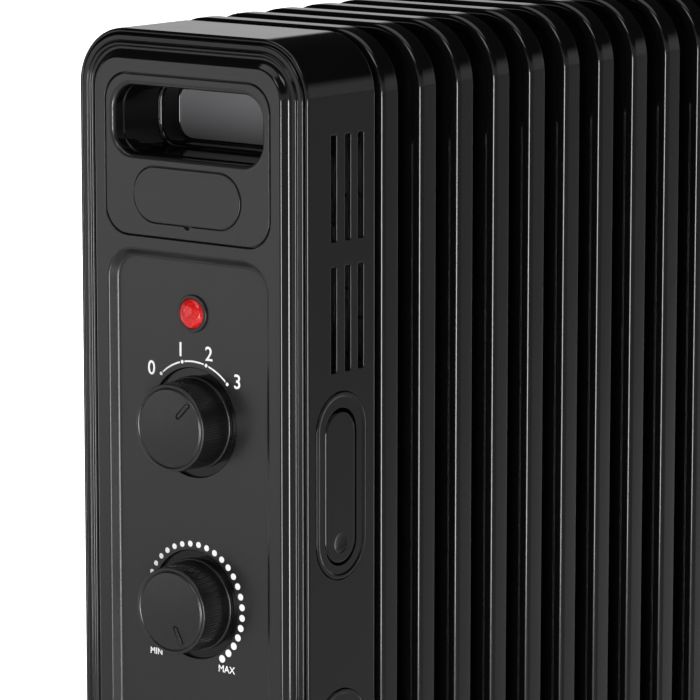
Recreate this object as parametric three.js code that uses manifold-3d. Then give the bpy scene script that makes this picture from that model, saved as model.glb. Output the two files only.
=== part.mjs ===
// Oil filled radiator heater on castors, with a full height control head at one end.
// Millimetres, +Z up. X runs along the row of fins, the control face looks towards -X,
// the side with the cord hooks looks towards -Y. The origin is on the floor under the middle.
import * as THREE from "three";
import { mergeVertices } from "three/addons/utils/BufferGeometryUtils.js";
import Module from "manifold-3d";

const wasm = await Module();
wasm.setup();

// ---- driving dimensions ------------------------------------------------------------
const GAP = 0.3; // clearance between touching pieces
const WIDTH = 160; // fins and head across Y
const HEAD_TOP = 640; // top of the control head above the floor

// fins
const FIN_COUNT = 11;
const FIN_PITCH = 33.6;
const FIN_HEIGHT = 575;
const FIN_TOP = HEAD_TOP + 1;
const FIN_BOTTOM = FIN_TOP - FIN_HEIGHT;
const FIN_CORNER = 35;
const FIN_SHEET = 1.6;
const FIN_FACE = 2.56; // a fin is thicker across its front face
const FIN_EDGE = 2.2; // rounding between the face and the rim
const FIN_RIM = 13; // depth of the folded rim
const FIRST_FIN = 64; // front of the first fin behind the front edge of the head shell
const HEADER_RADIUS = 24;
const HEADER_BORE = 18;
const HEADER_SIDES = 14;
const HEADER_INSET = 50; // header centre lines in from the top and the bottom of a fin
const CHANNEL_WIDTH = 20;
const CHANNEL_SPACING = 46;
const CHANNEL_RISE = 7;
const CHANNEL_MARGIN = 6; // between the ends of a channel and the headers

// control head
const SHELL_DEPTH = 57.4;
const SHELL_WALL = 2.2;
const SHELL_CORNER = 32;
const HEAD_HEIGHT = 572;
const HEAD_BOTTOM = HEAD_TOP - HEAD_HEIGHT;
const FACE = -4.35; // flat front face of the cover, forward of the shell edge
const COVER_WALL = 2.5;
const COVER_EDGE = SHELL_WALL + GAP; // insets from the outside of the shell
const OUTER_RIDGE_FRONT = -1.5;
const GROOVE_INSET = 4.8;
const GROOVE_FLOOR = -0.8;
const INNER_RIDGE_INSET = 7.5;
const INNER_RIDGE_FRONT = -2;
const FACE_INSET = 9.5;
const FACE_ROUNDING = 6.5;
const COVER_BACK = 5; // the rim of the cover reaches this far into the shell
const RECESS_FLOOR = 0.3;
const RECESS_TOP = HEAD_TOP - 118;
const RECESS_BOTTOM = HEAD_TOP - 398;
const RECESS_HALF = 57;
const RECESS_SLOPE = 8;
const RECESS_CORNER = 18;
const BACK_PLATE = 55; // front of the steel plate that closes the head at the back
const BACK_SHEET = 1.2;

// handle insert and badge
const INSERT_HALF = 57.35;
const INSERT_TOP = HEAD_TOP - 23.7;
const INSERT_BOTTOM = HEAD_TOP - 111;
const INSERT_CORNER = 15;
const GRIP_HALF = 51.8;
const GRIP_TOP = HEAD_TOP - 29.9;
const GRIP_BOTTOM = HEAD_TOP - 67.6;
const GRIP_CORNER = 13;
const GRIP_BACK = 47.3;
const GRIP_WALL = 2;
const BADGE_SEAT = 1.4;
const BADGE_PROUD = 0.5;
const BADGE_HALF = 37.3;
const BADGE_TOP = HEAD_TOP - 73.1;
const BADGE_BOTTOM = HEAD_TOP - 103.1;

// controls
const LAMP_Z = HEAD_TOP - 151.2;
const LENS_RADIUS = 8.2;
const BEZEL_RADIUS = 10.3;
const HOLDER_RADIUS = 11.5;
const HOLDER_LENGTH = 18;
const POWER_Z = HEAD_TOP - 211;
const THERMOSTAT_Z = HEAD_TOP - 311.6;
const KNOB_RADIUS = 23.9;
const KNOB_BASE_RADIUS = 25.4;
const KNOB_REACH = 21.4; // front of a knob above the recess floor
const WELL_RADIUS = 30;
const WELL_DEPTH = 2.4;
const SHAFT_RADIUS = 3;
const POINTER_SLOT = { depth: 1.2, half: 1.6, start: 5, end: KNOB_RADIUS - 4 };
const POINTER_BAR = { depth: 0.1, half: 0.9, start: 5.6, end: KNOB_RADIUS - 4.6 };
const POWER_TURN = 44; // pointer angles in the rest pose, clockwise from the top
const THERMOSTAT_TURN = 155;

// side vents and cord hooks
const VENT_LEFT_EDGES = [19.3, 31.3, 42.4];
const VENT_WIDTH = 5;
const VENT_SPANS = [[50.9, 107.6], [121.4, 178.1]]; // depths below the top of the head
const HOOK_X = 27.7;
const BEZEL_WIDTH = 42;
const BEZEL_HEIGHT = 102;
const HOOK_TOPS = [188.9, 352];
const HOOK_WIDTH = 25;
const HOOK_LENGTH = 83;
const HOOK_THICKNESS = 7;
const HOOK_PIVOT = 12.5; // pin from the hinge end of a hook
const HOOK_PIN_DEPTH = 4.6; // pin behind the outer side face
const TRAY_WIDTH = 33;
const TRAY_DEPTH = 20.5;
const TRAY_BEYOND_HINGE = 4.5;
const TRAY_BEYOND_TIP = 7;
const TRAY_PLAY = 1; // room round a hook in its tray
const HOOK_PIN_RADIUS = 1.5;

// cord gland
const GLAND_COLLAR = 10;
const GLAND_NECK = 6;
const GLAND_BORE = 3.6;

// feet and castors
const FOOT_SHEET = 2.5;
const FOOT_TOP = FIN_BOTTOM - GAP;
const FOOT_WIDTH = 64;
const FOOT_SPAN = 240;
const FOOT_GAPS = [2, 9]; // the fins that each foot is clamped behind
const FOOT_CORNER = 20;
const FOOT_RIB = 12; // height of the folded edges below the plate
const BOLT_RADIUS = 3;
const CASTOR_Y = 100;
const WHEEL_RADIUS = 24;
const WHEEL_WIDTH = 16;
const TRAIL = 16;
const AXLE_RADIUS = 3;
const STEM_RADIUS = 4;
const CHEEK = 2.6; // thickness of a fork cheek
const CROWN_RADIUS = 14;

const REAR_PLUG_END = FIRST_FIN + FIN_PITCH * (FIN_COUNT - 1) + FIN_RIM + 9;
const CENTRE_X = (REAR_PLUG_END + RECESS_FLOOR - KNOB_REACH) / 2;
const TOP_HEADER_Z = FIN_TOP - HEADER_INSET;
const LOW_HEADER_Z = FIN_BOTTOM + HEADER_INSET;

// ---- materials -----------------------------------------------------------------------
const material = (color, roughness, metalness) => new THREE.MeshStandardMaterial({ color, roughness, metalness });
const glossBlack = () => material(0x0b0b0c, 0.18, 0.0);
const satinBlack = () => material(0x141415, 0.45, 0.0);
const knobBlack = () => material(0x0e0e0f, 0.35, 0.0);
const finPaint = () => material(0x0a0a0b, 0.22, 0.1);
const steel = () => material(0xb9bcc0, 0.3, 1.0);
const rubber = () => material(0x1a1a1a, 0.85, 0.0);
const lampRed = () => material(0xc41414, 0.12, 0.0);
const phenolic = () => material(0x2b1d16, 0.6, 0.0);
const ceramic = () => material(0xe6e2d8, 0.6, 0.0);
const brass = () => material(0xb08d4a, 0.35, 1.0);

// ---- solids ----------------------------------------------------------------------------
function solid(geometry) {
  geometry.deleteAttribute("normal");
  geometry.deleteAttribute("uv");
  const merged = mergeVertices(geometry, 1e-4);
  const vertProperties = new Float32Array(merged.attributes.position.array);
  const triVerts = new Uint32Array(merged.index.array);
  return new wasm.Manifold(new wasm.Mesh({ numProp: 3, vertProperties, triVerts }));
}

function toGeometry(manifold) {
  const mesh = manifold.getMesh();
  const geometry = new THREE.BufferGeometry();
  geometry.setAttribute("position", new THREE.BufferAttribute(new Float32Array(mesh.vertProperties), 3));
  geometry.setIndex(new THREE.BufferAttribute(new Uint32Array(mesh.triVerts), 1));
  geometry.computeVertexNormals();
  return geometry;
}

function joined(parts) {
  return parts.reduce((whole, part) => whole.add(part));
}

function cutAll(whole, tools) {
  return tools.reduce((rest, tool) => rest.subtract(tool), whole);
}

function roundedRect(halfWidth, bottom, top, radius) {
  const shape = new THREE.Shape();
  shape.absarc(halfWidth - radius, top - radius, radius, 0, Math.PI / 2, false);
  shape.absarc(-halfWidth + radius, top - radius, radius, Math.PI / 2, Math.PI, false);
  shape.absarc(-halfWidth + radius, bottom + radius, radius, Math.PI, 1.5 * Math.PI, false);
  shape.absarc(halfWidth - radius, bottom + radius, radius, 1.5 * Math.PI, 2 * Math.PI, false);
  shape.closePath();
  return shape;
}

// A slot with two round ends, standing or lying according to which side is longer.
function stadium(halfWidth, bottom, top) {
  const shape = new THREE.Shape();
  const radius = Math.min(halfWidth, (top - bottom) / 2);
  if (top - bottom > 2 * halfWidth) {
    shape.absarc(0, top - radius, radius, 0, Math.PI, false);
    shape.absarc(0, bottom + radius, radius, Math.PI, 2 * Math.PI, false);
  } else {
    shape.absarc(halfWidth - radius, bottom + radius, radius, -Math.PI / 2, Math.PI / 2, false);
    shape.absarc(-halfWidth + radius, bottom + radius, radius, Math.PI / 2, 1.5 * Math.PI, false);
  }
  shape.closePath();
  return shape;
}

// A (y, z) outline extruded along +X from `from` to `to`.
function extrudeX(shape, from, to, options = {}) {
  const settings = { depth: to - from, bevelEnabled: false, curveSegments: 3, ...options };
  const geometry = new THREE.ExtrudeGeometry(shape, settings);
  const axes = new THREE.Matrix4();
  axes.makeBasis(new THREE.Vector3(0, 1, 0), new THREE.Vector3(0, 0, 1), new THREE.Vector3(1, 0, 0));
  geometry.applyMatrix4(axes);
  geometry.translate(from, 0, 0);
  return solid(geometry);
}

// An (x, z) outline extruded across Y between `low` and `high`.
function extrudeY(shape, low, high, segments = 3) {
  const settings = { depth: high - low, bevelEnabled: false, curveSegments: segments };
  const geometry = new THREE.ExtrudeGeometry(shape, settings);
  geometry.rotateX(Math.PI / 2);
  geometry.translate(0, high, 0);
  return solid(geometry);
}

// An (x, y) outline extruded up Z between `low` and `high`.
function extrudeZ(shape, low, high, segments = 3) {
  const settings = { depth: high - low, bevelEnabled: false, curveSegments: segments };
  const geometry = new THREE.ExtrudeGeometry(shape, settings);
  geometry.translate(0, 0, low);
  return solid(geometry);
}

// An outline whose front edge (towards -X) is rounded over `size` across and `rise` deep.
function softSlab(shape, from, to, size, rise, segments, curveSegments = 3) {
  const bevel = {
    bevelEnabled: true, bevelSize: size, bevelOffset: -size, bevelThickness: rise, bevelSegments: segments,
    curveSegments,
  };
  const slab = extrudeX(shape, from + rise, to, bevel);
  return slab.subtract(box(to, to + rise + 1, -200, 200, -100, 800));
}

function box(x0, x1, y0, y1, z0, z1) {
  const geometry = new THREE.BoxGeometry(x1 - x0, y1 - y0, z1 - z0);
  geometry.translate((x0 + x1) / 2, (y0 + y1) / 2, (z0 + z1) / 2);
  return solid(geometry);
}

function cylinderX(radius, x0, x1, y, z, segments = 16) {
  const geometry = new THREE.CylinderGeometry(radius, radius, x1 - x0, segments);
  geometry.rotateZ(-Math.PI / 2);
  geometry.translate((x0 + x1) / 2, y, z);
  return solid(geometry);
}

function cylinderY(radius, y0, y1, x, z, segments = 16) {
  const geometry = new THREE.CylinderGeometry(radius, radius, y1 - y0, segments);
  geometry.translate(x, (y0 + y1) / 2, z);
  return solid(geometry);
}

function cylinderZ(radius, z0, z1, x, y, segments = 16) {
  const geometry = new THREE.CylinderGeometry(radius, radius, z1 - z0, segments);
  geometry.rotateX(Math.PI / 2);
  geometry.translate(x, y, (z0 + z1) / 2);
  return solid(geometry);
}

// A profile of [radius, x] points turned about the X axis through height z.
function turnedX(profile, z, segments = 20) {
  const points = profile.map(([radius, x]) => new THREE.Vector2(radius, x));
  const geometry = new THREE.LatheGeometry(points, segments);
  geometry.rotateZ(-Math.PI / 2);
  geometry.translate(0, 0, z);
  return solid(geometry);
}

class HalfTurn extends THREE.Curve {
  constructor(radius) {
    super();
    this.radius = radius;
  }

  getPoint(t, target = new THREE.Vector3()) {
    const angle = Math.PI * (t - 0.5);
    return target.set(this.radius * Math.cos(angle), this.radius * Math.sin(angle), 0);
  }
}

// A rod bent to a U: legs along X from 0 to `length`, the bend beyond them, in the XY plane.
function hairpin(halfGap, rod, length) {
  const section = new THREE.Shape().absarc(0, 0, rod, 0, 2 * Math.PI, false);
  const settings = { steps: 8, curveSegments: 3, bevelEnabled: false, extrudePath: new HalfTurn(halfGap) };
  const bend = solid(new THREE.ExtrudeGeometry(section, settings)).translate([length, 0, 0]);
  const legs = [-halfGap, halfGap].map((y) => cylinderX(rod * 0.98, 0, length + 0.5, y, 0, 6));
  return joined([bend, ...legs]);
}

// ---- assembly ----------------------------------------------------------------------------
const heater = new THREE.Group();
heater.position.x = -CENTRE_X;

function place(name, body, surface) {
  const mesh = new THREE.Mesh(toGeometry(body), surface);
  mesh.name = name;
  heater.add(mesh);
  return mesh;
}

// ---- fins --------------------------------------------------------------------------------
function finOutline(inset) {
  return roundedRect(WIDTH / 2 - inset, FIN_BOTTOM + inset, FIN_TOP - inset, FIN_CORNER - inset);
}

function fin(index) {
  const last = index === FIN_COUNT - 1;
  const headerEnd = last ? FIN_RIM : FIN_PITCH - GAP;
  const rim = softSlab(finOutline(0), 0, FIN_RIM, FIN_EDGE, FIN_EDGE, 1, 2);
  const hollow = extrudeX(finOutline(FIN_SHEET), FIN_FACE, FIN_RIM + 1, { curveSegments: 2 });
  const headers = [TOP_HEADER_Z, LOW_HEADER_Z].map((z) => cylinderX(HEADER_RADIUS, 1, headerEnd, 0, z, HEADER_SIDES));
  const low = LOW_HEADER_Z + HEADER_RADIUS + CHANNEL_MARGIN;
  const high = TOP_HEADER_Z - HEADER_RADIUS - CHANNEL_MARGIN;
  const half = CHANNEL_WIDTH / 2;
  const channels = [-1, 0, 1].map((side) => {
    const channel = extrudeX(stadium(half, low, high), 1, CHANNEL_RISE, { curveSegments: 2 });
    return channel.translate([0, side * CHANNEL_SPACING, 0]);
  });
  const bores = [TOP_HEADER_Z, LOW_HEADER_Z].map((z) => cylinderX(HEADER_BORE, -1, headerEnd + 1, 0, z, HEADER_SIDES));
  const body = cutAll(joined([rim.subtract(hollow), ...headers, ...channels]), bores);
  return body.translate([FIRST_FIN + index * FIN_PITCH, 0, 0]);
}

for (let index = 0; index < FIN_COUNT; index += 1) {
  place(`fin_${String(index + 1).padStart(2, "0")}`, fin(index), finPaint());
}

// ---- header plugs and heating element ------------------------------------------------------
const LAST_FIN_BACK = FIRST_FIN + FIN_PITCH * (FIN_COUNT - 1) + FIN_RIM;
const PLUG_RADIUS = HEADER_RADIUS + 2;
const PLUG_SEAT = 4;
const PLUG_NECK = 7; // reach of a plug into the header
const PLUG_HEXAGON = 11;
const STUD_RADIUS = 4;
const NUT_RADIUS = 8;
const NUT_HEIGHT = 4.5;
const TERMINAL_RADIUS = 2;
const TERMINAL_REACH = 13; // terminals stand this far in front of the back plate
const ELEMENT_HALF_GAP = 9;
const ELEMENT_RADIUS = 4;
const ELEMENT_OFFSET = 8; // one element above and one below the middle of the header
const ELEMENT_SHORT = 30; // free length beyond the bend of an element

function rearPlug(z) {
  const seat = cylinderX(PLUG_RADIUS, LAST_FIN_BACK + GAP, LAST_FIN_BACK + PLUG_SEAT, 0, z);
  const neck = cylinderX(HEADER_BORE - 1, LAST_FIN_BACK - PLUG_NECK, LAST_FIN_BACK + PLUG_SEAT - 1, 0, z);
  const hexagon = cylinderX(PLUG_HEXAGON, LAST_FIN_BACK + PLUG_SEAT - 1, REAR_PLUG_END, 0, z, 6);
  return joined([seat, neck, hexagon]);
}

function headSidePlug(z) {
  const seat = cylinderX(PLUG_RADIUS, FIRST_FIN - PLUG_SEAT, FIRST_FIN - GAP, 0, z);
  const neck = cylinderX(HEADER_BORE - 1, FIRST_FIN - 1, FIRST_FIN + PLUG_NECK, 0, z);
  return joined([seat, neck]);
}

function headStudPlug() {
  const stud = cylinderX(STUD_RADIUS, BACK_PLATE - NUT_HEIGHT - 0.5, FIRST_FIN - 2, 0, TOP_HEADER_Z, 12);
  return headSidePlug(TOP_HEADER_Z).add(stud);
}

function headNut() {
  const nut = cylinderX(NUT_RADIUS, BACK_PLATE - NUT_HEIGHT, BACK_PLATE - GAP, 0, TOP_HEADER_Z, 6);
  return nut.subtract(cylinderX(STUD_RADIUS + GAP, BACK_PLATE - 6, BACK_PLATE, 0, TOP_HEADER_Z, 12));
}

function heaterFlange() {
  const terminals = [-1, 1].flatMap((side) => [-1, 1].map((row) => {
    const z = LOW_HEADER_Z + row * ELEMENT_OFFSET;
    return cylinderX(TERMINAL_RADIUS, BACK_PLATE - TERMINAL_REACH, FIRST_FIN - 2, side * ELEMENT_HALF_GAP, z, 8);
  }));
  return joined([headSidePlug(LOW_HEADER_Z), ...terminals]);
}

function heatingElement(row) {
  const start = FIRST_FIN + PLUG_NECK + GAP;
  const rod = hairpin(ELEMENT_HALF_GAP, ELEMENT_RADIUS, LAST_FIN_BACK - ELEMENT_SHORT - start);
  return rod.translate([start, 0, LOW_HEADER_Z + row * ELEMENT_OFFSET]);
}

place("oil_filler_plug", rearPlug(TOP_HEADER_Z), steel());
place("rear_header_plug", rearPlug(LOW_HEADER_Z), steel());
place("head_mounting_stud", headStudPlug(), steel());
place("head_mounting_nut", headNut(), steel());
place("heater_flange", heaterFlange(), steel());
place("heating_element_1", heatingElement(-1), steel());
place("heating_element_2", heatingElement(1), steel());

// ---- head shell, cover and back plate --------------------------------------------------------
function headOutline(inset) {
  return roundedRect(WIDTH / 2 - inset, HEAD_BOTTOM + inset, HEAD_TOP - inset, SHELL_CORNER - inset);
}

function ventCutters() {
  return VENT_SPANS.flatMap(([upper, lower]) => VENT_LEFT_EDGES.map((left) => {
    return box(left, left + VENT_WIDTH, -WIDTH, WIDTH, HEAD_TOP - lower, HEAD_TOP - upper);
  }));
}

function shiftedY(shape, low, high, segments) {
  return extrudeY(shape, low, high, segments).translate([HOOK_X, 0, 0]);
}

function headShell() {
  const inside = extrudeX(headOutline(SHELL_WALL), -1, SHELL_DEPTH + 1);
  const tube = extrudeX(headOutline(0), 0, SHELL_DEPTH).subtract(inside);
  const windows = HOOK_TOPS.map((depth) => {
    const top = HEAD_TOP - depth + GAP;
    const outline = stadium(BEZEL_WIDTH / 2 + GAP, top - BEZEL_HEIGHT - 2 * GAP, top);
    return shiftedY(outline, -WIDTH, -WIDTH / 2 + SHELL_WALL + 1, 6);
  });
  const inlet = cylinderZ(GLAND_NECK + GAP, HEAD_BOTTOM - 1, HEAD_BOTTOM + 5, SHELL_DEPTH / 2, 0, 16);
  return cutAll(tube, [...ventCutters(), ...windows, inlet]);
}

function coverSkin() {
  const outerRidge = softSlab(headOutline(COVER_EDGE), OUTER_RIDGE_FRONT, COVER_BACK, 1.2, 1.2, 1);
  const innerRidge = softSlab(headOutline(INNER_RIDGE_INSET), INNER_RIDGE_FRONT, 2, 0.8, 0.8, 1);
  const face = softSlab(headOutline(FACE_INSET), FACE, 2, FACE_ROUNDING, 2.6, 2);
  const grooveInside = extrudeX(headOutline(INNER_RIDGE_INSET), FACE, 0);
  const groove = extrudeX(headOutline(GROOVE_INSET), FACE, GROOVE_FLOOR).subtract(grooveInside);
  const skin = joined([outerRidge.subtract(groove), innerRidge, face]);
  const backOfFace = extrudeX(headOutline(FACE_INSET + 4.5), FACE + COVER_WALL, COVER_BACK + 1);
  const backOfRim = extrudeX(headOutline(COVER_EDGE + COVER_WALL), 0.6, COVER_BACK + 1);
  return cutAll(skin, [backOfFace, backOfRim]);
}

function frontCover() {
  const wellHeights = [POWER_Z, THERMOSTAT_Z];
  const recessBack = roundedRect(RECESS_HALF, RECESS_BOTTOM, RECESS_TOP, RECESS_CORNER);
  const tub = extrudeX(recessBack, FACE + 1, RECESS_FLOOR + COVER_WALL);
  const wellBacks = wellHeights.map((z) => {
    return cylinderX(WELL_RADIUS + COVER_WALL, FACE + 1, RECESS_FLOOR + WELL_DEPTH + COVER_WALL, 0, z, 20);
  });
  const blank = joined([coverSkin(), tub, ...wellBacks]);
  const insertHole = roundedRect(INSERT_HALF + GAP, INSERT_BOTTOM - GAP, INSERT_TOP + GAP, INSERT_CORNER + GAP);
  const insertCut = extrudeX(insertHole, -10, 8);
  const wells = wellHeights.map((z) => cylinderX(WELL_RADIUS, -2, RECESS_FLOOR + WELL_DEPTH, 0, z, 20));
  const shaftHoles = wellHeights.map((z) => cylinderX(SHAFT_RADIUS + 1.5, -2, 9, 0, z, 8));
  const lampHole = cylinderX(LENS_RADIUS + 1.2, -2, 9, 0, LAMP_Z, 16);
  return cutAll(blank, [insertCut, recessCutter(), ...wells, ...shaftHoles, lampHole]);
}

// The recess is widest at the face and its soft walls slope in to the floor.
function recessCutter() {
  const lip = roundedRect(RECESS_HALF, RECESS_BOTTOM, RECESS_TOP, RECESS_CORNER);
  const reach = RECESS_FLOOR - FACE;
  const bevel = {
    bevelEnabled: true, bevelSize: RECESS_SLOPE, bevelOffset: -RECESS_SLOPE, bevelThickness: reach, bevelSegments: 2,
  };
  return extrudeX(lip, FACE - 2 * reach, FACE, bevel);
}

function backPlate() {
  const plate = extrudeX(headOutline(SHELL_WALL + GAP), BACK_PLATE, BACK_PLATE + BACK_SHEET);
  const studHole = cylinderX(STUD_RADIUS + GAP, BACK_PLATE - 2, BACK_PLATE + 4, 0, TOP_HEADER_Z, 12);
  const heaterHole = cylinderX(PLUG_RADIUS - 4, BACK_PLATE - 2, BACK_PLATE + 4, 0, LOW_HEADER_Z);
  return cutAll(plate, [studHole, heaterHole]);
}

place("head_shell", headShell(), glossBlack());
place("front_cover", frontCover(), satinBlack());
place("head_back_plate", backPlate(), steel());

// ---- handle insert and badge -------------------------------------------------------------------
function handleInsert() {
  const panelOutline = roundedRect(INSERT_HALF, INSERT_BOTTOM, INSERT_TOP, INSERT_CORNER);
  const panel = extrudeX(panelOutline, FACE, FACE + COVER_WALL);
  const pocket = extrudeX(gripOutline(GRIP_WALL), FACE + 1, GRIP_BACK + GRIP_WALL);
  const mouth = extrudeX(gripOutline(0), FACE - 1, GRIP_BACK);
  const seat = badgeOutline(GAP);
  return cutAll(panel.add(pocket), [mouth, extrudeX(seat, FACE - 1, FACE + BADGE_SEAT)]);
}

function gripOutline(growth) {
  return roundedRect(GRIP_HALF + growth, GRIP_BOTTOM - growth, GRIP_TOP + growth, GRIP_CORNER + growth);
}

function badgeOutline(growth) {
  return stadium(BADGE_HALF + growth, BADGE_BOTTOM - growth, BADGE_TOP + growth);
}

place("handle_insert", handleInsert(), satinBlack());
place("badge_cap", softSlab(badgeOutline(0), FACE - BADGE_PROUD, FACE + BADGE_SEAT - GAP, 0.6, 0.5, 1), satinBlack());

// ---- indicator lamp --------------------------------------------------------------------------
function lampLens() {
  const flat = RECESS_FLOOR;
  const stem = LENS_RADIUS - 1;
  const dome = [[0, flat - 4.8], [LENS_RADIUS * 0.5, flat - 4.2], [LENS_RADIUS * 0.86, flat - 2.6],
    [LENS_RADIUS, flat - 0.6], [stem, flat], [stem, flat + 9], [0, flat + 9]];
  return turnedX(dome, LAMP_Z);
}

function lampBezel() {
  const back = RECESS_FLOOR - GAP;
  const front = RECESS_FLOOR - 1.4;
  const inner = LENS_RADIUS + GAP;
  const ring = [[inner, back], [BEZEL_RADIUS, back], [BEZEL_RADIUS - 0.4, front], [inner, front], [inner, back]];
  return turnedX(ring.reverse(), LAMP_Z);
}

function lampHolder() {
  const front = RECESS_FLOOR + COVER_WALL + GAP;
  const sleeve = cylinderX(HOLDER_RADIUS, front, front + HOLDER_LENGTH, 0, LAMP_Z, 16);
  return sleeve.subtract(cylinderX(LENS_RADIUS, front - 1, front + HOLDER_LENGTH - 3, 0, LAMP_Z, 16));
}

place("lamp_lens", lampLens(), lampRed());
place("lamp_bezel", lampBezel(), satinBlack());
place("lamp_holder", lampHolder(), ceramic());

// ---- knobs, shafts and the switches behind them ---------------------------------------------------
const WELL_FLOOR = RECESS_FLOOR + WELL_DEPTH;
const KNOB_FRONT = RECESS_FLOOR - KNOB_REACH;
const SWITCH_FRONT = WELL_FLOOR + COVER_WALL + GAP;
const SHAFT_FRONT = KNOB_FRONT + 8;
const SHAFT_ENTRY = 8; // length of a shaft inside its switch
const SWITCH_HALF = 18;
const SWITCH_DEPTH = 24;

function knob(z, turn) {
  const back = WELL_FLOOR - GAP;
  const outline = [[0, KNOB_FRONT], [KNOB_RADIUS - 3, KNOB_FRONT + 0.3], [KNOB_RADIUS, KNOB_FRONT + 2.4],
    [KNOB_BASE_RADIUS - 0.5, back - 2], [KNOB_BASE_RADIUS, back], [0, back]];
  const body = turnedX(outline, 0, 24).subtract(cylinderX(SHAFT_RADIUS + GAP, SHAFT_FRONT - 1, back + 1, 0, 0, 12));
  const cut = POINTER_SLOT;
  const bar = POINTER_BAR;
  const slot = box(KNOB_FRONT - 1, KNOB_FRONT + cut.depth, -cut.half, cut.half, cut.start, cut.end);
  const pointer = box(KNOB_FRONT + bar.depth, KNOB_FRONT + 2, -bar.half, bar.half, bar.start, bar.end);
  return body.subtract(slot).add(pointer).rotate([turn, 0, 0]).translate([0, 0, z]);
}

function shaft(z) {
  return cylinderX(SHAFT_RADIUS, SHAFT_FRONT, SWITCH_FRONT + SHAFT_ENTRY, 0, z, 12);
}

function bore(z) {
  return cylinderX(SHAFT_RADIUS + GAP, SWITCH_FRONT - 1, SWITCH_FRONT + SHAFT_ENTRY + 1, 0, z, 12);
}

function powerSwitch() {
  const half = SWITCH_HALF;
  const back = SWITCH_FRONT + SWITCH_DEPTH;
  const block = box(SWITCH_FRONT, back, -half, half, POWER_Z - half, POWER_Z + half);
  const tabs = [-1, 0, 1].map((side) => {
    const y = side * 11;
    return box(back - 4, back + 8, y - 3, y + 3, POWER_Z - half / 2, POWER_Z - half / 2 + 1);
  });
  return joined([block, ...tabs]).subtract(bore(POWER_Z));
}

function thermostat() {
  const frame = box(SWITCH_FRONT, SWITCH_FRONT + 6, -15, 15, THERMOSTAT_Z - 22, THERMOSTAT_Z + 22);
  const bush = cylinderX(8, SWITCH_FRONT + 4, SWITCH_FRONT + 16, 0, THERMOSTAT_Z, 16);
  const strip = box(SWITCH_FRONT + 5, SWITCH_FRONT + 26, -6, 6, THERMOSTAT_Z - 19, THERMOSTAT_Z - 16);
  const tabs = [-1, 1].map((side) => {
    return box(SWITCH_FRONT + 5, SWITCH_FRONT + 22, side * 8 - 3, side * 8 + 3, THERMOSTAT_Z + 17, THERMOSTAT_Z + 18);
  });
  return joined([frame, bush, strip, ...tabs]).subtract(bore(THERMOSTAT_Z));
}

place("power_knob", knob(POWER_Z, POWER_TURN), knobBlack());
place("power_switch_shaft", shaft(POWER_Z), brass());
place("power_switch", powerSwitch(), phenolic());
place("thermostat_knob", knob(THERMOSTAT_Z, THERMOSTAT_TURN), knobBlack());
place("thermostat_shaft", shaft(THERMOSTAT_Z), brass());
place("thermostat", thermostat(), ceramic());

// ---- cord hooks ---------------------------------------------------------------------------------
const SIDE = -WIDTH / 2;

// The upper hook hinges at its lower end (direction 1), the lower hook at its upper end (direction -1).
function hookPlan(order) {
  const top = HEAD_TOP - HOOK_TOPS[order];
  const bottom = top - BEZEL_HEIGHT;
  const direction = order === 0 ? 1 : -1;
  const margin = (BEZEL_WIDTH - HOOK_WIDTH) / 2;
  const hingeEnd = direction === 1 ? bottom + margin : top - margin;
  return { top, bottom, direction, hingeEnd, tip: hingeEnd + direction * HOOK_LENGTH };
}

function spanOutline(width, a, b) {
  return stadium(width / 2, Math.min(a, b), Math.max(a, b));
}

function hookPinZ(plan) {
  return plan.hingeEnd + plan.direction * HOOK_PIVOT;
}

function hookTray(plan) {
  const ring = shiftedY(stadium(BEZEL_WIDTH / 2, plan.bottom, plan.top), SIDE, SIDE + SHELL_WALL, 6);
  const bodyEnds = [plan.hingeEnd - plan.direction * TRAY_BEYOND_HINGE, plan.tip + plan.direction * TRAY_BEYOND_TIP];
  const cavityEnds = [plan.hingeEnd - plan.direction * 1.2, plan.tip + plan.direction * (TRAY_BEYOND_TIP - 3)];
  const body = spanOutline(TRAY_WIDTH, ...bodyEnds);
  const cavity = spanOutline(HOOK_WIDTH + 2 * TRAY_PLAY, ...cavityEnds);
  const tray = shiftedY(body, SIDE + 1, SIDE + TRAY_DEPTH, 4);
  const hole = pinRod(plan, HOOK_PIN_RADIUS + GAP, BEZEL_WIDTH - 2);
  return cutAll(ring.add(tray), [shiftedY(cavity, SIDE - 1, SIDE + TRAY_DEPTH - 2, 4), hole]);
}

function pinRod(plan, radius, length) {
  const middle = SIDE + HOOK_PIN_DEPTH;
  return cylinderX(radius, HOOK_X - length / 2, HOOK_X + length / 2, middle, hookPinZ(plan), 12);
}

function hookLever(plan) {
  const blade = shiftedY(spanOutline(HOOK_WIDTH, plan.hingeEnd, plan.tip), SIDE + 0.2, SIDE + HOOK_THICKNESS, 4);
  const lipStart = plan.tip - plan.direction * 10;
  const lip = shiftedY(spanOutline(10, lipStart, plan.tip - plan.direction * 25), SIDE + 4, SIDE + 13, 3);
  return blade.add(lip).subtract(pinRod(plan, HOOK_PIN_RADIUS + GAP, BEZEL_WIDTH - 2));
}

["upper", "lower"].forEach((label, order) => {
  const plan = hookPlan(order);
  place(`${label}_hook_bezel`, hookTray(plan), glossBlack());
  place(`${label}_cord_hook`, hookLever(plan), glossBlack());
  place(`${label}_hook_pin`, pinRod(plan, HOOK_PIN_RADIUS, TRAY_WIDTH - 2), steel());
});

// ---- wiring chamber ---------------------------------------------------------------------------------
const CHAMBER_BACK = BACK_PLATE - GAP;

const BLOCK_BOTTOM = 200;
const BLOCK_TOP = 216;
const BLOCK_HALF = 32;
const BLOCK_DEPTH = 16;
const WAY_PITCH = 12;

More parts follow.
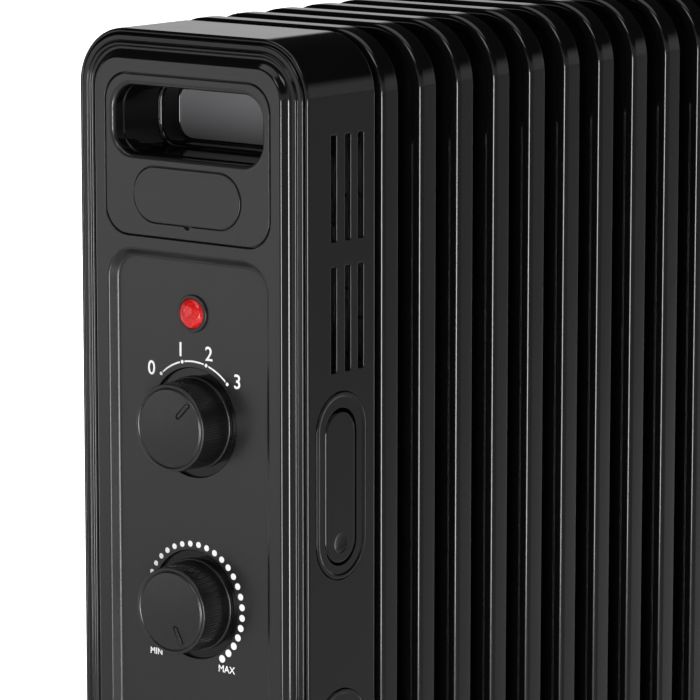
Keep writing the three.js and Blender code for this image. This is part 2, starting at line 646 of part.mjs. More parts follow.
function terminalBlock() {
  const front = CHAMBER_BACK - BLOCK_DEPTH;
  const block = box(front, CHAMBER_BACK, -BLOCK_HALF, BLOCK_HALF, BLOCK_BOTTOM, BLOCK_TOP);
  const slots = [-2, -1, 0, 1, 2].map((way) => {
    const y = way * WAY_PITCH;
    return box(front - 1, CHAMBER_BACK - 6, y - 3, y + 3, BLOCK_BOTTOM + 4, BLOCK_TOP + 1);
  });
  return cutAll(block, slots);
}

const CUTOUT_Y = 42;
const CUTOUT_RADIUS = 9;

function thermalCutout() {
  const disc = cylinderX(CUTOUT_RADIUS, CHAMBER_BACK - 7, CHAMBER_BACK, CUTOUT_Y, LOW_HEADER_Z, 16);
  const tabs = [-1, 1].map((side) => {
    const y = CUTOUT_Y + side * 5;
    return box(CHAMBER_BACK - 18, CHAMBER_BACK - 6, y - 2, y + 2, LOW_HEADER_Z, LOW_HEADER_Z + 1);
  });
  return joined([disc, ...tabs]);
}

const TILT_PIVOT_Z = 180;
const TILT_X = 38;
const TILT_Y = -40;
const TILT_PIN = 2;
const WEIGHT_RADIUS = 9;
const WEIGHT_DROP = 30; // middle of the weight below the pivot

function tipOverSwitch() {
  const back = box(CHAMBER_BACK - 2, CHAMBER_BACK, TILT_Y - 24, TILT_Y + 24, TILT_PIVOT_Z - 46, TILT_PIVOT_Z + 12);
  const pin = cylinderX(TILT_PIN, TILT_X - 6, CHAMBER_BACK - 1, TILT_Y, TILT_PIVOT_Z, 12);
  const micro = box(TILT_X - 4, CHAMBER_BACK - 1, TILT_Y - 8, TILT_Y + 8, TILT_PIVOT_Z + 6, TILT_PIVOT_Z + 12);
  return joined([back, pin, micro]);
}

function tipOverPendulum() {
  const eye = cylinderX(4.5, TILT_X - 5, TILT_X + 5, TILT_Y, TILT_PIVOT_Z, 16);
  const arm = box(TILT_X - 2, TILT_X + 2, TILT_Y - 2, TILT_Y + 2, TILT_PIVOT_Z - 26, TILT_PIVOT_Z - 3);
  const weight = cylinderX(WEIGHT_RADIUS, TILT_X - 6, TILT_X + 6, TILT_Y, TILT_PIVOT_Z - WEIGHT_DROP, 16);
  const hole = cylinderX(TILT_PIN + GAP, TILT_X - 7, TILT_X + 7, TILT_Y, TILT_PIVOT_Z, 12);
  return joined([eye, arm, weight]).subtract(hole);
}

function cordGland() {
  const x = SHELL_DEPTH / 2;
  const collar = cylinderZ(GLAND_COLLAR, HEAD_BOTTOM - 6, HEAD_BOTTOM - GAP, x, 0, 16);
  const neck = cylinderZ(GLAND_NECK, HEAD_BOTTOM - 2, HEAD_BOTTOM + 14, x, 0, 16);
  return collar.add(neck).subtract(cylinderZ(GLAND_BORE, HEAD_BOTTOM - 7, HEAD_BOTTOM + 15, x, 0, 12));
}

place("terminal_block", terminalBlock(), ceramic());
place("thermal_cutout", thermalCutout(), phenolic());
place("tip_over_switch", tipOverSwitch(), phenolic());
place("tip_over_pendulum", tipOverPendulum(), steel());
place("cord_gland", cordGland(), satinBlack());

// ---- feet, clamps and castors --------------------------------------------------------------------------
const FOOT_BOTTOM = FOOT_TOP - FOOT_SHEET;
const BOLT_HALF = HEADER_RADIUS + BOLT_RADIUS + 0.6;
const HUB_RADIUS = 6.5;
const HUB_HEIGHT = 7;
const WING_SPAN = 15;

function footX(order) {
  const finFront = FIRST_FIN + FIN_PITCH * (FOOT_GAPS[order] - 1);
  return finFront + (FIN_PITCH + FIN_RIM) / 2;
}

function footPlate(order) {
  const x = footX(order);
  const outline = roundedRect(FOOT_WIDTH / 2, -FOOT_SPAN / 2, FOOT_SPAN / 2, FOOT_CORNER);
  const plate = extrudeZ(outline, FOOT_BOTTOM, FOOT_TOP);
  const length = FOOT_SPAN / 2 - FOOT_CORNER - 2;
  const ribHalf = FOOT_SHEET / 2;
  const ribs = [-1, 1].map((side) => {
    const edge = side * (FOOT_WIDTH / 2 - ribHalf);
    return box(edge - ribHalf, edge + ribHalf, -length, length, FOOT_BOTTOM - FOOT_RIB, FOOT_BOTTOM + 1);
  });
  const boltHoles = [-1, 1].map((side) => cylinderZ(BOLT_RADIUS + GAP, 0, 100, 0, side * BOLT_HALF, 8));
  const stemHoles = [-1, 1].map((side) => cylinderZ(STEM_RADIUS + 0.5, 0, 100, 0, side * CASTOR_Y, 12));
  return cutAll(joined([plate, ...ribs]), [...boltHoles, ...stemHoles]).translate([x, 0, 0]);
}

function clampBolt(order) {
  const length = LOW_HEADER_Z - FOOT_BOTTOM + 14;
  return hairpin(BOLT_HALF, BOLT_RADIUS, length).rotate([0, -90, 0])
    .translate([footX(order), 0, LOW_HEADER_Z - length]);
}

function wingNut(order, side) {
  const x = footX(order);
  const y = side * BOLT_HALF;
  const top = FOOT_BOTTOM - GAP;
  const hub = cylinderZ(HUB_RADIUS, top - HUB_HEIGHT, top, x, y, 12);
  const wings = box(x - WING_SPAN, x + WING_SPAN, y - 1.2, y + 1.2, top - HUB_HEIGHT - 4, top - 3);
  const thread = cylinderZ(BOLT_RADIUS + GAP + 0.2, top - 12, top + 1, x, y, 8);
  return hub.add(wings).subtract(thread);
}

function forkCheek() {
  const shape = new THREE.Shape();
  shape.moveTo(-11, FOOT_BOTTOM - 4);
  shape.lineTo(-9, FOOT_BOTTOM - 14);
  shape.absarc(TRAIL, WHEEL_RADIUS, 7, Math.PI * 0.95, Math.PI * 2.1, false);
  shape.lineTo(13, FOOT_BOTTOM - 4);
  shape.closePath();
  return shape;
}

function castorFork() {
  const inner = WHEEL_WIDTH / 2 + 1;
  const cheeks = [-1, 1].map((side) => {
    const near = Math.min(side * inner, side * (inner + CHEEK));
    return extrudeY(forkCheek(), near, near + CHEEK);
  });
  const crown = cylinderZ(CROWN_RADIUS, FOOT_BOTTOM - 6, FOOT_BOTTOM - GAP, 0, 0, 16);
  const stem = cylinderZ(STEM_RADIUS, FOOT_BOTTOM - 2, FOOT_TOP + 3, 0, 0, 12);
  const cap = cylinderZ(STEM_RADIUS + 3, FOOT_TOP + GAP, FOOT_TOP + 4, 0, 0, 12);
  const axle = cylinderY(AXLE_RADIUS, -inner - CHEEK, inner + CHEEK, TRAIL, WHEEL_RADIUS, 12);
  return joined([crown, ...cheeks, stem, cap, axle]);
}

function castorWheel() {
  const half = WHEEL_WIDTH / 2;
  const tyre = cylinderY(WHEEL_RADIUS, -half, half, TRAIL, WHEEL_RADIUS, 24);
  return tyre.subtract(cylinderY(AXLE_RADIUS + GAP, -half - 1, half + 1, TRAIL, WHEEL_RADIUS, 12));
}

["front", "rear"].forEach((end, order) => {
  place(`${end}_foot`, footPlate(order), finPaint());
  place(`${end}_clamp_bolt`, clampBolt(order), steel());
  [-1, 1].forEach((side) => {
    const label = side < 0 ? "right" : "left";
    const spot = [footX(order), side * CASTOR_Y, 0];
    place(`${end}_${label}_wing_nut`, wingNut(order, side), steel());
    place(`${end}_${label}_castor_fork`, castorFork().translate(spot), satinBlack());
    place(`${end}_${label}_castor_wheel`, castorWheel().translate(spot), rubber());
  });
});

export default heater;
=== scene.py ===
"""Oil filled radiator heater: the visible pieces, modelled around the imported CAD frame.

Everything is in metres in the row frame: +Z up, X along the row of fins with the control
face towards -X, and the side with the cord hooks towards -Y.
"""

import math
from contextlib import contextmanager

import bmesh
import bpy
from bpy.props import FloatProperty, FloatVectorProperty, IntProperty, PointerProperty
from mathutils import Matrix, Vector


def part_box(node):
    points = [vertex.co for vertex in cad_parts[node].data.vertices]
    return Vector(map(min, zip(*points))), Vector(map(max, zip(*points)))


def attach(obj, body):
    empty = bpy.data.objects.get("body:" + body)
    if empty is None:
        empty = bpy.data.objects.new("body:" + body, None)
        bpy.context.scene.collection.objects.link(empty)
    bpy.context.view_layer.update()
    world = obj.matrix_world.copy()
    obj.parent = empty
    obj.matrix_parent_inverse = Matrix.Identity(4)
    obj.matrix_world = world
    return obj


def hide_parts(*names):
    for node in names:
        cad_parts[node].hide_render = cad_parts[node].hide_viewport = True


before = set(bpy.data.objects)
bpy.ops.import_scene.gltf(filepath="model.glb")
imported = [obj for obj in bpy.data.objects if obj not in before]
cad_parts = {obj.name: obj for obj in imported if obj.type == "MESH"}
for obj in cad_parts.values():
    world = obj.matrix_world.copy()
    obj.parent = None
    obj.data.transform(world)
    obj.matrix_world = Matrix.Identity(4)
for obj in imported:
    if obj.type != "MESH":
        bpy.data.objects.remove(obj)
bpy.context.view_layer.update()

bl_info = {
    "name": "Oil filled radiator heater",
    "version": (1, 0, 0),
    "blender": (4, 5, 0),
    "location": "3D View > Sidebar > Heater",
    "description": "Models and paints the pieces of an oil filled radiator heater on its CAD frame",
    "category": "Object",
}

MM = 0.001
FRONT = Vector((-1, 0, 0))
BACK = Vector((1, 0, 0))
RIGHT = Vector((0, -1, 0))
LEFT = Vector((0, 1, 0))
UP = Vector((0, 0, 1))
DOWN = Vector((0, 0, -1))

# ---- places taken from the frame ---------------------------------------------------------
FIN_COUNT = sum(name.startswith("fin_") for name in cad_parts)
LAST_FIN = f"fin_{FIN_COUNT:02d}"
FIN_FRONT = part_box("fin_01")[0].x
LAST_FIN_LOW, LAST_FIN_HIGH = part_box(LAST_FIN)
FIN_PITCH = (LAST_FIN_LOW.x - FIN_FRONT) / (FIN_COUNT - 1)
FIN_RIM = LAST_FIN_HIGH.x - LAST_FIN_LOW.x
HEAD_LOW, HEAD_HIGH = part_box("head_shell")
COVER_LOW, COVER_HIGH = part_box("front_cover")
FACE_X = COVER_LOW.x
FLOOR_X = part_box("lamp_bezel")[1].x + 0.3 * MM


def middle(node):
    """The middle of a CAD node's box."""
    low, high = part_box(node)
    return (low + high) / 2


# ---- sizes and colours that a user would change ----------------------------------------------
def length(name, description, default):
    """A length property in metres."""
    return FloatProperty(name=name, description=description, default=default, min=0, unit="LENGTH", precision=5)


def colour(name, description, default):
    """A colour property."""
    return FloatVectorProperty(
        name=name, description=description, default=default, size=3, min=0, max=1, subtype="COLOR"
    )


class HeaterFinSettings(bpy.types.PropertyGroup):
    corner: length("Corner radius", "Radius of the four corners of a fin", 35 * MM)
    edge: length("Edge radius", "Rounding of the front edge of the rim", 3.0 * MM)
    sheet: length("Sheet", "Thickness of the pressed sheet with its paint", 1.6 * MM)
    web: length("Web depth", "Depth of the web behind the front edge", 2.0 * MM)
    channel_width: length("Channel width", "Width of an oil channel", 20 * MM)
    channel_spacing: length("Channel spacing", "Distance between the oil channels", 46 * MM)
    header_radius: length("Header radius", "Radius of the tubes that join the fins", 24 * MM)


class HeaterHeadSettings(bpy.types.PropertyGroup):
    corner: length("Corner radius", "Radius of the outer corners of the head", 32 * MM)
    wall: length("Wall", "Thickness of the head shell", 2.2 * MM)
    recess_top: length("Recess top", "Top of the recess below the top of the head", 118 * MM)
    recess_bottom: length("Recess bottom", "Bottom of the recess below the top of the head", 398 * MM)
    recess_half: length("Recess half width", "Half width of the recess at the face", 57 * MM)
    recess_corner: length("Recess corner", "Corner radius of the recess at the face", 18 * MM)
    vent_width: length("Vent width", "Width of a vent slot", 5 * MM)


class HeaterControlSettings(bpy.types.PropertyGroup):
    knob_radius: length("Knob radius", "Radius of a knob at its front edge", 23.9 * MM)
    power_turn: FloatProperty(
        name="Power turn", description="Rest angle of the power pointer from the top, clockwise",
        default=math.radians(44), subtype="ANGLE",
    )
    thermostat_turn: FloatProperty(
        name="Thermostat turn", description="Rest angle of the thermostat pointer from the top, clockwise",
        default=math.radians(155), subtype="ANGLE",
    )
    scale_radius: length("Scale radius", "Radius of the dots and lines round a knob", 33.6 * MM)
    dot_count: IntProperty(name="Dots", description="Number of dots round the thermostat", default=30, min=2)


class HeaterColourSettings(bpy.types.PropertyGroup):
    gloss: colour("Shell", "Gloss black of the head shell and hooks", (0.002, 0.002, 0.0021))
    satin: colour("Cover", "Satin black of the cover and the handle insert", (0.011, 0.011, 0.0115))
    enamel: colour("Fins", "Enamel of the fins and feet", (0.002, 0.002, 0.0021))
    knob: colour("Knobs", "Black of the knobs", (0.006, 0.006, 0.0063))
    lamp: colour("Lamp", "Red of the lamp lens", (0.40, 0.006, 0.006))
    print_white: colour("Print", "White of the printed scales", (0.82, 0.82, 0.80))


class HeaterStageSettings(bpy.types.PropertyGroup):
    camera_place: FloatVectorProperty(
        name="Camera place", description="Place of the camera in the row frame",
        default=(-1.98145, -1.5155, 0.8701), size=3, subtype="TRANSLATION", unit="LENGTH",
    )
    yaw: FloatProperty(
        name="Yaw", description="Direction of view from +X towards +Y", default=math.radians(38.32), subtype="ANGLE",
    )
    pitch: FloatProperty(
        name="Pitch", description="Direction of view below the horizon", default=math.radians(9.74), subtype="ANGLE",
    )
    lens: FloatProperty(name="Lens", description="Focal length in millimetres", default=226.3, min=1)
    horizon: FloatProperty(name="Horizon", description="Brightness of the wall of the studio", default=0.6, min=0)
    overhead: FloatProperty(name="Overhead", description="Brightness of the soft ceiling", default=1.5, min=0)
    key_power: FloatProperty(name="Key", description="Power of the soft box above the camera", default=20, unit="POWER")
    panel_power: FloatProperty(name="Panel", description="Power of the panel before the face", default=5, unit="POWER")
    strip_power: FloatProperty(name="Strip", description="Power of the strip light", default=13, unit="POWER")
    backdrop_power: FloatProperty(
        name="Backdrop", description="Power of the spot light on the floor behind", default=4000, unit="POWER"
    )


# ---- modelling tools ------------------------------------------------------------------------
def only(*pieces):
    """Selects these pieces and nothing else. The first one is the active one."""
    bpy.ops.object.select_all(action="DESELECT")
    for piece in pieces:
        piece.select_set(True)
    if pieces:
        bpy.context.view_layer.objects.active = pieces[0]


@contextmanager
def editing(piece):
    """Edit mode on one piece, with nothing selected at the start."""
    only(piece)
    bpy.ops.object.mode_set(mode="EDIT")
    bpy.ops.mesh.select_all(action="DESELECT")
    yield
    bpy.ops.object.mode_set(mode="OBJECT")


def pick(kind, test):
    """In edit mode, selects just the faces, edges or vertices that pass a test."""
    bpy.ops.mesh.select_mode(type=kind)
    bpy.ops.mesh.select_all(action="DESELECT")
    mesh = bmesh.from_edit_mesh(bpy.context.edit_object.data)
    for item in {"FACE": mesh.faces, "EDGE": mesh.edges, "VERT": mesh.verts}[kind]:
        if test(item):
            item.select_set(True)
    mesh.select_flush_mode()
    bmesh.update_edit_mesh(bpy.context.edit_object.data)


def started(name):
    """Names the primitive that was just added and moves its place into its mesh."""
    piece = bpy.context.object
    piece.name = name
    piece.data.name = name
    bpy.ops.object.transform_apply(location=True, rotation=True, scale=True)
    return piece


def block(name, low, high):
    """A block between two corners."""
    low, high = Vector(low), Vector(high)
    only()
    bpy.ops.mesh.primitive_cube_add(size=1, location=(low + high) / 2, scale=high - low)
    return started(name)


def rod(name, radius, start, end, sides=64):
    """A cylinder from one point to another."""
    start, end = Vector(start), Vector(end)
    turn = UP.rotation_difference(end - start).to_euler()
    only()
    bpy.ops.mesh.primitive_cylinder_add(
        vertices=sides, radius=radius, depth=(end - start).length, location=(start + end) / 2, rotation=turn
    )
    return started(name)


def ball(name, centre, radii):
    """An ellipsoid, used to press hollows."""
    only()
    bpy.ops.mesh.primitive_uv_sphere_add(segments=40, ring_count=20, radius=1, location=centre, scale=radii)
    return started(name)


def weld(distance=1e-5):
    """In edit mode, merges vertices that lie on each other."""
    bpy.ops.mesh.select_all(action="SELECT")
    bpy.ops.mesh.remove_doubles(threshold=distance)
    bpy.ops.mesh.select_all(action="DESELECT")


def round_along(piece, axis, radius, segments=14):
    """Rounds the edges of a block that run along an axis, 0, 1 or 2."""
    with editing(piece):
        pick("EDGE", lambda edge: abs((edge.verts[0].co - edge.verts[1].co).normalized()[axis]) > 0.999)
        bpy.ops.mesh.bevel(offset=radius, segments=segments, profile=0.5, affect="EDGES", clamp_overlap=False)
        weld()


def rounded_block(name, low, high, axis, radius, segments=14):
    """A block whose edges along one axis are rounded."""
    piece = block(name, low, high)
    round_along(piece, axis, radius, segments)
    return piece


def stadium_block(name, low, high, axis, segments=16):
    """A block with two round ends, seen along an axis."""
    sides = [high[index] - low[index] for index in range(3) if index != axis]
    return rounded_block(name, low, high, axis, min(sides) / 2 - 1e-6, segments)


def terrace(piece, out, points):
    """Steps the outermost face in direction `out` through points of (distance in, height)."""
    with editing(piece):
        mesh = bmesh.from_edit_mesh(piece.data)
        level = max(face.calc_center_median().dot(out) for face in mesh.faces if face.normal.dot(out) > 0.99)
        pick("FACE", lambda face: face.normal.dot(out) > 0.99 and face.calc_center_median().dot(out) > level - 1e-6)
        inward = 0
        height = 0
        for distance, rise in points:
            if distance - inward > 1e-7:
                bpy.ops.mesh.inset(thickness=distance - inward, depth=rise - height, use_even_offset=True)
            else:
                bpy.ops.mesh.extrude_region_move(TRANSFORM_OT_translate={"value": out * (rise - height)})
            inward = distance
            height = rise


def arc(width, rise, steps=4, start=(0, 0)):
    """Points of a quarter round that leaves along the wall and ends along the face."""
    angles = [math.pi / 2 * step / steps for step in range(1, steps + 1)]
    return [(start[0] + width * (1 - math.cos(angle)), start[1] + rise * math.sin(angle)) for angle in angles]


def cove(width, rise, steps=4, start=(0, 0)):
    """Points of a quarter round that leaves along the face and ends along the wall."""
    angles = [math.pi / 2 * step / steps for step in range(1, steps + 1)]
    return [(start[0] + width * math.sin(angle), start[1] + rise * (1 - math.cos(angle))) for angle in angles]


def bend(radius, start_slope, end_slope, steps, start):
    """Points of an arc that turns from one slope to another, hollow when it steepens."""
    turn = math.copysign(radius, end_slope - start_slope)
    points = []
    for step in range(1, steps + 1):
        slope = start_slope + (end_slope - start_slope) * step / steps
        x = start[0] + turn * (math.sin(slope) - math.sin(start_slope))
        y = start[1] + turn * (math.cos(start_slope) - math.cos(slope))
        points.append((x, y))
    return points


def fall(width, drop, steps=4, start=(0, 0)):
    """Points of a quarter round that leaves along the face and drops down a wall."""
    return [(x, 2 * start[1] - y) for x, y in cove(width, drop, steps, start)]


def wave(width, rise, steps=10, start=(0, 0)):
    """Points of a soft step that starts and ends level."""
    shares = [step / steps for step in range(1, steps + 1)]
    return [(start[0] + width * share, start[1] + rise * (1 - math.cos(math.pi * share)) / 2) for share in shares]


def boolean(piece, tool, operation):
    """Applies one Boolean and throws the tool away."""
    only(piece)
    modifier = piece.modifiers.new(operation.lower(), "BOOLEAN")
    modifier.operation = operation
    modifier.solver = "EXACT"
    modifier.object = tool
    bpy.ops.object.modifier_apply(modifier=modifier.name)
    bpy.data.objects.remove(tool)


def cut(piece, *tools):
    """Cuts tools out of a piece."""
    for tool in tools:
        boolean(piece, tool, "DIFFERENCE")


def fuse(piece, *others):
    """Melts other solids into a piece."""
    for other in others:
        boolean(piece, other, "UNION")


def gather(piece, *others):
    """Joins solids that stay separate shells into one piece."""
    only(piece, *others)
    bpy.ops.object.join()
    return piece


def ease_edges(piece, width, segments=2, angle=50):
    """Rounds the sharp edges of a piece."""
    only(piece)
    modifier = piece.modifiers.new("edges", "BEVEL")
    modifier.width = width
    modifier.segments = segments
    modifier.limit_method = "ANGLE"
    modifier.angle_limit = math.radians(angle)
    modifier.use_clamp_overlap = False
    bpy.ops.object.modifier_apply(modifier=modifier.name)


def copied(piece, name, offset=(0, 0, 0)):
    """A copy of a piece with its own mesh, moved by an offset."""
    only(piece)
    bpy.ops.object.duplicate()
    twin = bpy.context.object
    twin.name = name
    twin.data.name = name
    bpy.ops.transform.translate(value=offset)
    bpy.ops.object.transform_apply(location=True, rotation=False, scale=False)
    return twin


def mirrored(piece, name, centre_y=0.0):
    """A copy of a piece on the other side of the plane y = centre_y."""
    twin = copied(piece, name)
    only(twin)
    twin.scale.y = -1
    twin.location.y = 2 * centre_y
    bpy.ops.object.transform_apply(location=True, rotation=False, scale=True)
    with editing(twin):
        bpy.ops.mesh.select_all(action="SELECT")
        bpy.ops.mesh.normals_make_consistent(inside=False)
    return twin


def turned_to(piece, angle, centre):
    """Turns a piece that was made round the origin about X and moves it to its place."""
    only(piece)
    piece.rotation_euler.x = angle
    piece.location = centre
    bpy.ops.object.transform_apply(location=True, rotation=True, scale=False)


def settle(piece, body, surface, slot, *nodes, angle=35):
    """Smooths a finished piece, gives it its surface and body, and hides the CAD nodes it stands for."""
    only(piece)
    bpy.ops.object.shade_smooth_by_angle(angle=math.radians(angle))
    modifier = piece.modifiers.new("shading", "WEIGHTED_NORMAL")
    modifier.keep_sharp = True
    bpy.ops.object.modifier_apply(modifier=modifier.name)
    piece.data.materials.clear()
    piece.data.materials.append(surface)
    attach(piece, body)
    if nodes:
        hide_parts(*nodes)
    return piece


# ---- surfaces ------------------------------------------------------------------------------
class Surface:
    """A material made of nodes that read the Object coordinates."""

    def __init__(self, name, colour, roughness, **constants):
        self.material = bpy.data.materials.new(name)
        self.material.use_nodes = True
        self.tree = self.material.node_tree
        self.shader = self.tree.nodes["Principled BSDF"]
        self.shader.inputs["Base Color"].default_value = (*colour, 1)
        self.shader.inputs["Roughness"].default_value = roughness
        for socket, value in constants.items():
            self.shader.inputs[socket.replace("_", " ")].default_value = value
        self.place = self.node("ShaderNodeTexCoord").outputs["Object"]
        self.normal = None

    def node(self, kind, **inputs):
        """A node with some of its inputs linked or set."""
        made = self.tree.nodes.new(kind)
        for name, value in inputs.items():
            self.feed(made.inputs[name.replace("_", " ")], value)
        return made

    def feed(self, socket, value):
        """Links an output to a socket, or sets the socket's value."""
        if isinstance(value, bpy.types.NodeSocket):
            self.tree.links.new(value, socket)
        else:
            socket.default_value = value

    def stretched(self, x, y, z):
        """The coordinates, scaled along each axis."""
        return self.node("ShaderNodeMapping", Vector=self.place, Scale=(x, y, z)).outputs["Vector"]

    def noise(self, scale, detail=3.0, place=None, rough=0.5):
        """Cloudy noise from 0 to 1, with `scale` lumps to the metre."""
        made = self.node(
            "ShaderNodeTexNoise", Vector=place or self.place, Scale=scale, Detail=detail, Roughness=rough
        )
        return made.outputs["Fac"]

    def cells(self, scale, place=None):
        """Distance to the nearest of scattered points, with `scale` points to the metre."""
        return self.node("ShaderNodeTexVoronoi", Vector=place or self.place, Scale=scale).outputs["Distance"]

    def span(self, value, low, high, start=0.3, end=0.7):
        """Turns values from start to end into values from low to high."""
        made = self.node("ShaderNodeMapRange", Value=value)
        for name, number in (("From Min", start), ("From Max", end), ("To Min", low), ("To Max", high)):
            made.inputs[name].default_value = number
        return made.outputs["Result"]

    def blend(self, factor, first, second):
        """Mixes two colours."""
        made = self.tree.nodes.new("ShaderNodeMix")
        made.data_type = "RGBA"
        self.feed(made.inputs[0], factor)
        self.feed(made.inputs[6], (*first, 1))
        self.feed(made.inputs[7], (*second, 1))
        return made.outputs[2]

    def colour_from(self, factor, first, second):
        """Lets a pattern choose the colour between two colours."""
        self.feed(self.shader.inputs["Base Color"], self.blend(factor, first, second))

    def roughness_from(self, factor, low, high):
        """Lets a pattern choose the roughness."""
        self.feed(self.shader.inputs["Roughness"], self.span(factor, low, high))

    def relief(self, height, depth, strength=1.0):
        """Adds a fine relief of that depth in metres on top of what is there."""
        made = self.node("ShaderNodeBump", Height=height, Distance=depth, Strength=strength)
        if self.normal is not None:
            self.feed(made.inputs["Normal"], self.normal)
        self.normal = made.outputs["Normal"]
        self.feed(self.shader.inputs["Normal"], self.normal)


def shade(colour, factor):
    """A colour made lighter or darker."""
    return tuple(min(1.0, part * factor) for part in colour)


def gloss_plastic(base):
    """Polished black plastic of the head shell, the hook bezels and the hooks."""
    made = Surface("gloss_plastic", base, 0.1, IOR=1.4)
    made.colour_from(made.noise(30), base, shade(base, 1.5))
    made.roughness_from(made.noise(14, 2), 0.07, 0.12)
    made.relief(made.noise(260, 2), 0.010 * MM)
    made.relief(made.noise(18, 1), 0.06 * MM)
    return made.material


def satin_plastic(base):
    """Finely grained satin plastic of the cover and the handle insert."""
    made = Surface("satin_plastic", base, 0.24, IOR=1.46)
    made.colour_from(made.noise(1500, 4), shade(base, 0.85), shade(base, 1.2))
    made.roughness_from(made.noise(900, 3), 0.21, 0.27)
    made.relief(made.noise(3200, 4), 0.030 * MM)
    made.relief(made.cells(2300), 0.012 * MM)
    return made.material


def matt_plastic(base):
    """The back wall of the grip pocket: grained, unpolished plastic whose colour is the satin black lightened many
    times over, painted light where the back wall catches the light.
    """
    # Painted light: the colour is the satin black made about thirteen times lighter, grained between twelve and
    # fourteen times.
    made = Surface("matt_plastic", shade(base, 13), 0.7, IOR=1.45)
    made.colour_from(made.noise(1300, 4), shade(base, 12), shade(base, 14))
    made.relief(made.noise(2400, 4), 0.04 * MM)
    return made.material


def fin_enamel(base):
    """Stoved black enamel with a slight orange peel and the gentle waves of the pressed sheet."""
    made = Surface("fin_enamel", base, 0.12, IOR=1.4)
    made.colour_from(made.noise(40), base, shade(base, 1.6))
    made.roughness_from(made.noise(22, 2), 0.09, 0.15)
    made.relief(made.noise(420, 2), 0.012 * MM)
    made.relief(made.noise(9, 1, made.stretched(1, 1, 0.4)), 0.25 * MM)
    return made.material


def knob_plastic(base):
    """Black plastic of the knobs with a fine spark eroded grain."""
    made = Surface("knob_plastic", base, 0.3, IOR=1.48)
    made.colour_from(made.noise(1800, 3), shade(base, 0.8), shade(base, 1.3))
    made.roughness_from(made.noise(1200, 3), 0.27, 0.34)
    made.relief(made.noise(2600, 3), 0.014 * MM)
    return made.material


def lamp_glass(base):
    """Red lens with the mottled glow of its faceted back."""
    made = Surface("lamp_glass", base, 0.1, IOR=1.5)
    facets = made.cells(620)
    clouds = made.noise(260, 3)
    made.colour_from(facets, shade(base, 1.2), shade(base, 0.8))
    glow = made.node("ShaderNodeMath", Value=made.span(facets, 1.0, 0.0, 0.1, 0.7))
    glow.operation = "MULTIPLY"
    made.feed(glow.inputs[1], made.span(clouds, 0.15, 1.0, 0.35, 0.62))
    light = made.blend(glow.outputs["Value"], (0.16, 0.003, 0.003), (0.55, 0.04, 0.035))
    made.feed(made.shader.inputs["Emission Color"], light)
    made.shader.inputs["Emission Strength"].default_value = 0.4
    made.relief(facets, 0.15 * MM, 0.6)
    return made.material


def zinc_steel():
    """Bright zinc plating with faint passivation clouds and drawing lines."""
    made = Surface("zinc_steel", (0.6, 0.61, 0.63), 0.3, Metallic=1.0)
    made.colour_from(made.noise(60, 4), (0.50, 0.52, 0.56), (0.66, 0.65, 0.60))
    made.roughness_from(made.noise(180, 3), 0.24, 0.42)
    made.relief(made.noise(900, 2, made.stretched(0.1, 1, 1)), 0.01 * MM)
    return made.material


def drawn_brass():
    """Turned brass of the shafts."""
    made = Surface("drawn_brass", (0.70, 0.49, 0.20), 0.3, Metallic=1.0)
    made.colour_from(made.noise(150, 3), (0.62, 0.42, 0.17), (0.74, 0.55, 0.26))
    made.relief(made.noise(1500, 2, made.stretched(1, 0.1, 0.1)), 0.01 * MM)
    return made.material


def phenolic_resin():
    """Brown moulded resin with wood flour flecks."""
    made = Surface("phenolic_resin", (0.035, 0.018, 0.012), 0.5, IOR=1.5)
    made.colour_from(made.cells(900), (0.050, 0.026, 0.016), (0.022, 0.012, 0.008))
    made.roughness_from(made.noise(300), 0.42, 0.6)
    made.relief(made.noise(700, 4), 0.02 * MM)
    return made.material


def glazed_ceramic():
    """Cream steatite with fine specks."""
    made = Surface("glazed_ceramic", (0.75, 0.72, 0.64), 0.5, IOR=1.5)
    made.colour_from(made.noise(1100, 5), (0.70, 0.66, 0.57), (0.80, 0.78, 0.71))
    made.roughness_from(made.noise(240), 0.4, 0.6)
    made.relief(made.noise(900, 4), 0.02 * MM)
    return made.material


def castor_nylon():
    """Grained black nylon of the castor forks and the cord gland."""
    made = Surface("castor_nylon", (0.014, 0.014, 0.015), 0.45, IOR=1.5)
    made.colour_from(made.noise(700, 4), (0.011, 0.011, 0.012), (0.019, 0.019, 0.020))
    made.roughness_from(made.noise(500), 0.4, 0.55)
    made.relief(made.cells(1500), 0.03 * MM)
    return made.material


def wheel_rubber():
    """Dull black of the wheels, greyer where dust clings."""
    made = Surface("wheel_rubber", (0.018, 0.018, 0.018), 0.7, IOR=1.5)
    made.colour_from(made.noise(120, 5), (0.013, 0.013, 0.013), (0.034, 0.033, 0.031))
    made.roughness_from(made.noise(200), 0.6, 0.82)
    made.relief(made.noise(1400, 4), 0.04 * MM)
    return made.material


def scale_print(base):
    """White pad print of the scales, slightly uneven."""
    made = Surface("scale_print", base, 0.5, IOR=1.45)
    made.colour_from(made.noise(1500, 3), shade(base, 0.88), base)
    made.relief(made.noise(2600, 3), 0.01 * MM)
    return made.material


def studio_floor():
    """Plain pale floor."""
    made = Surface("studio_floor", (0.9, 0.9, 0.9), 0.9)
    made.colour_from(made.noise(2, 3), (0.89, 0.89, 0.89), (0.91, 0.91, 0.91))
    return made.material


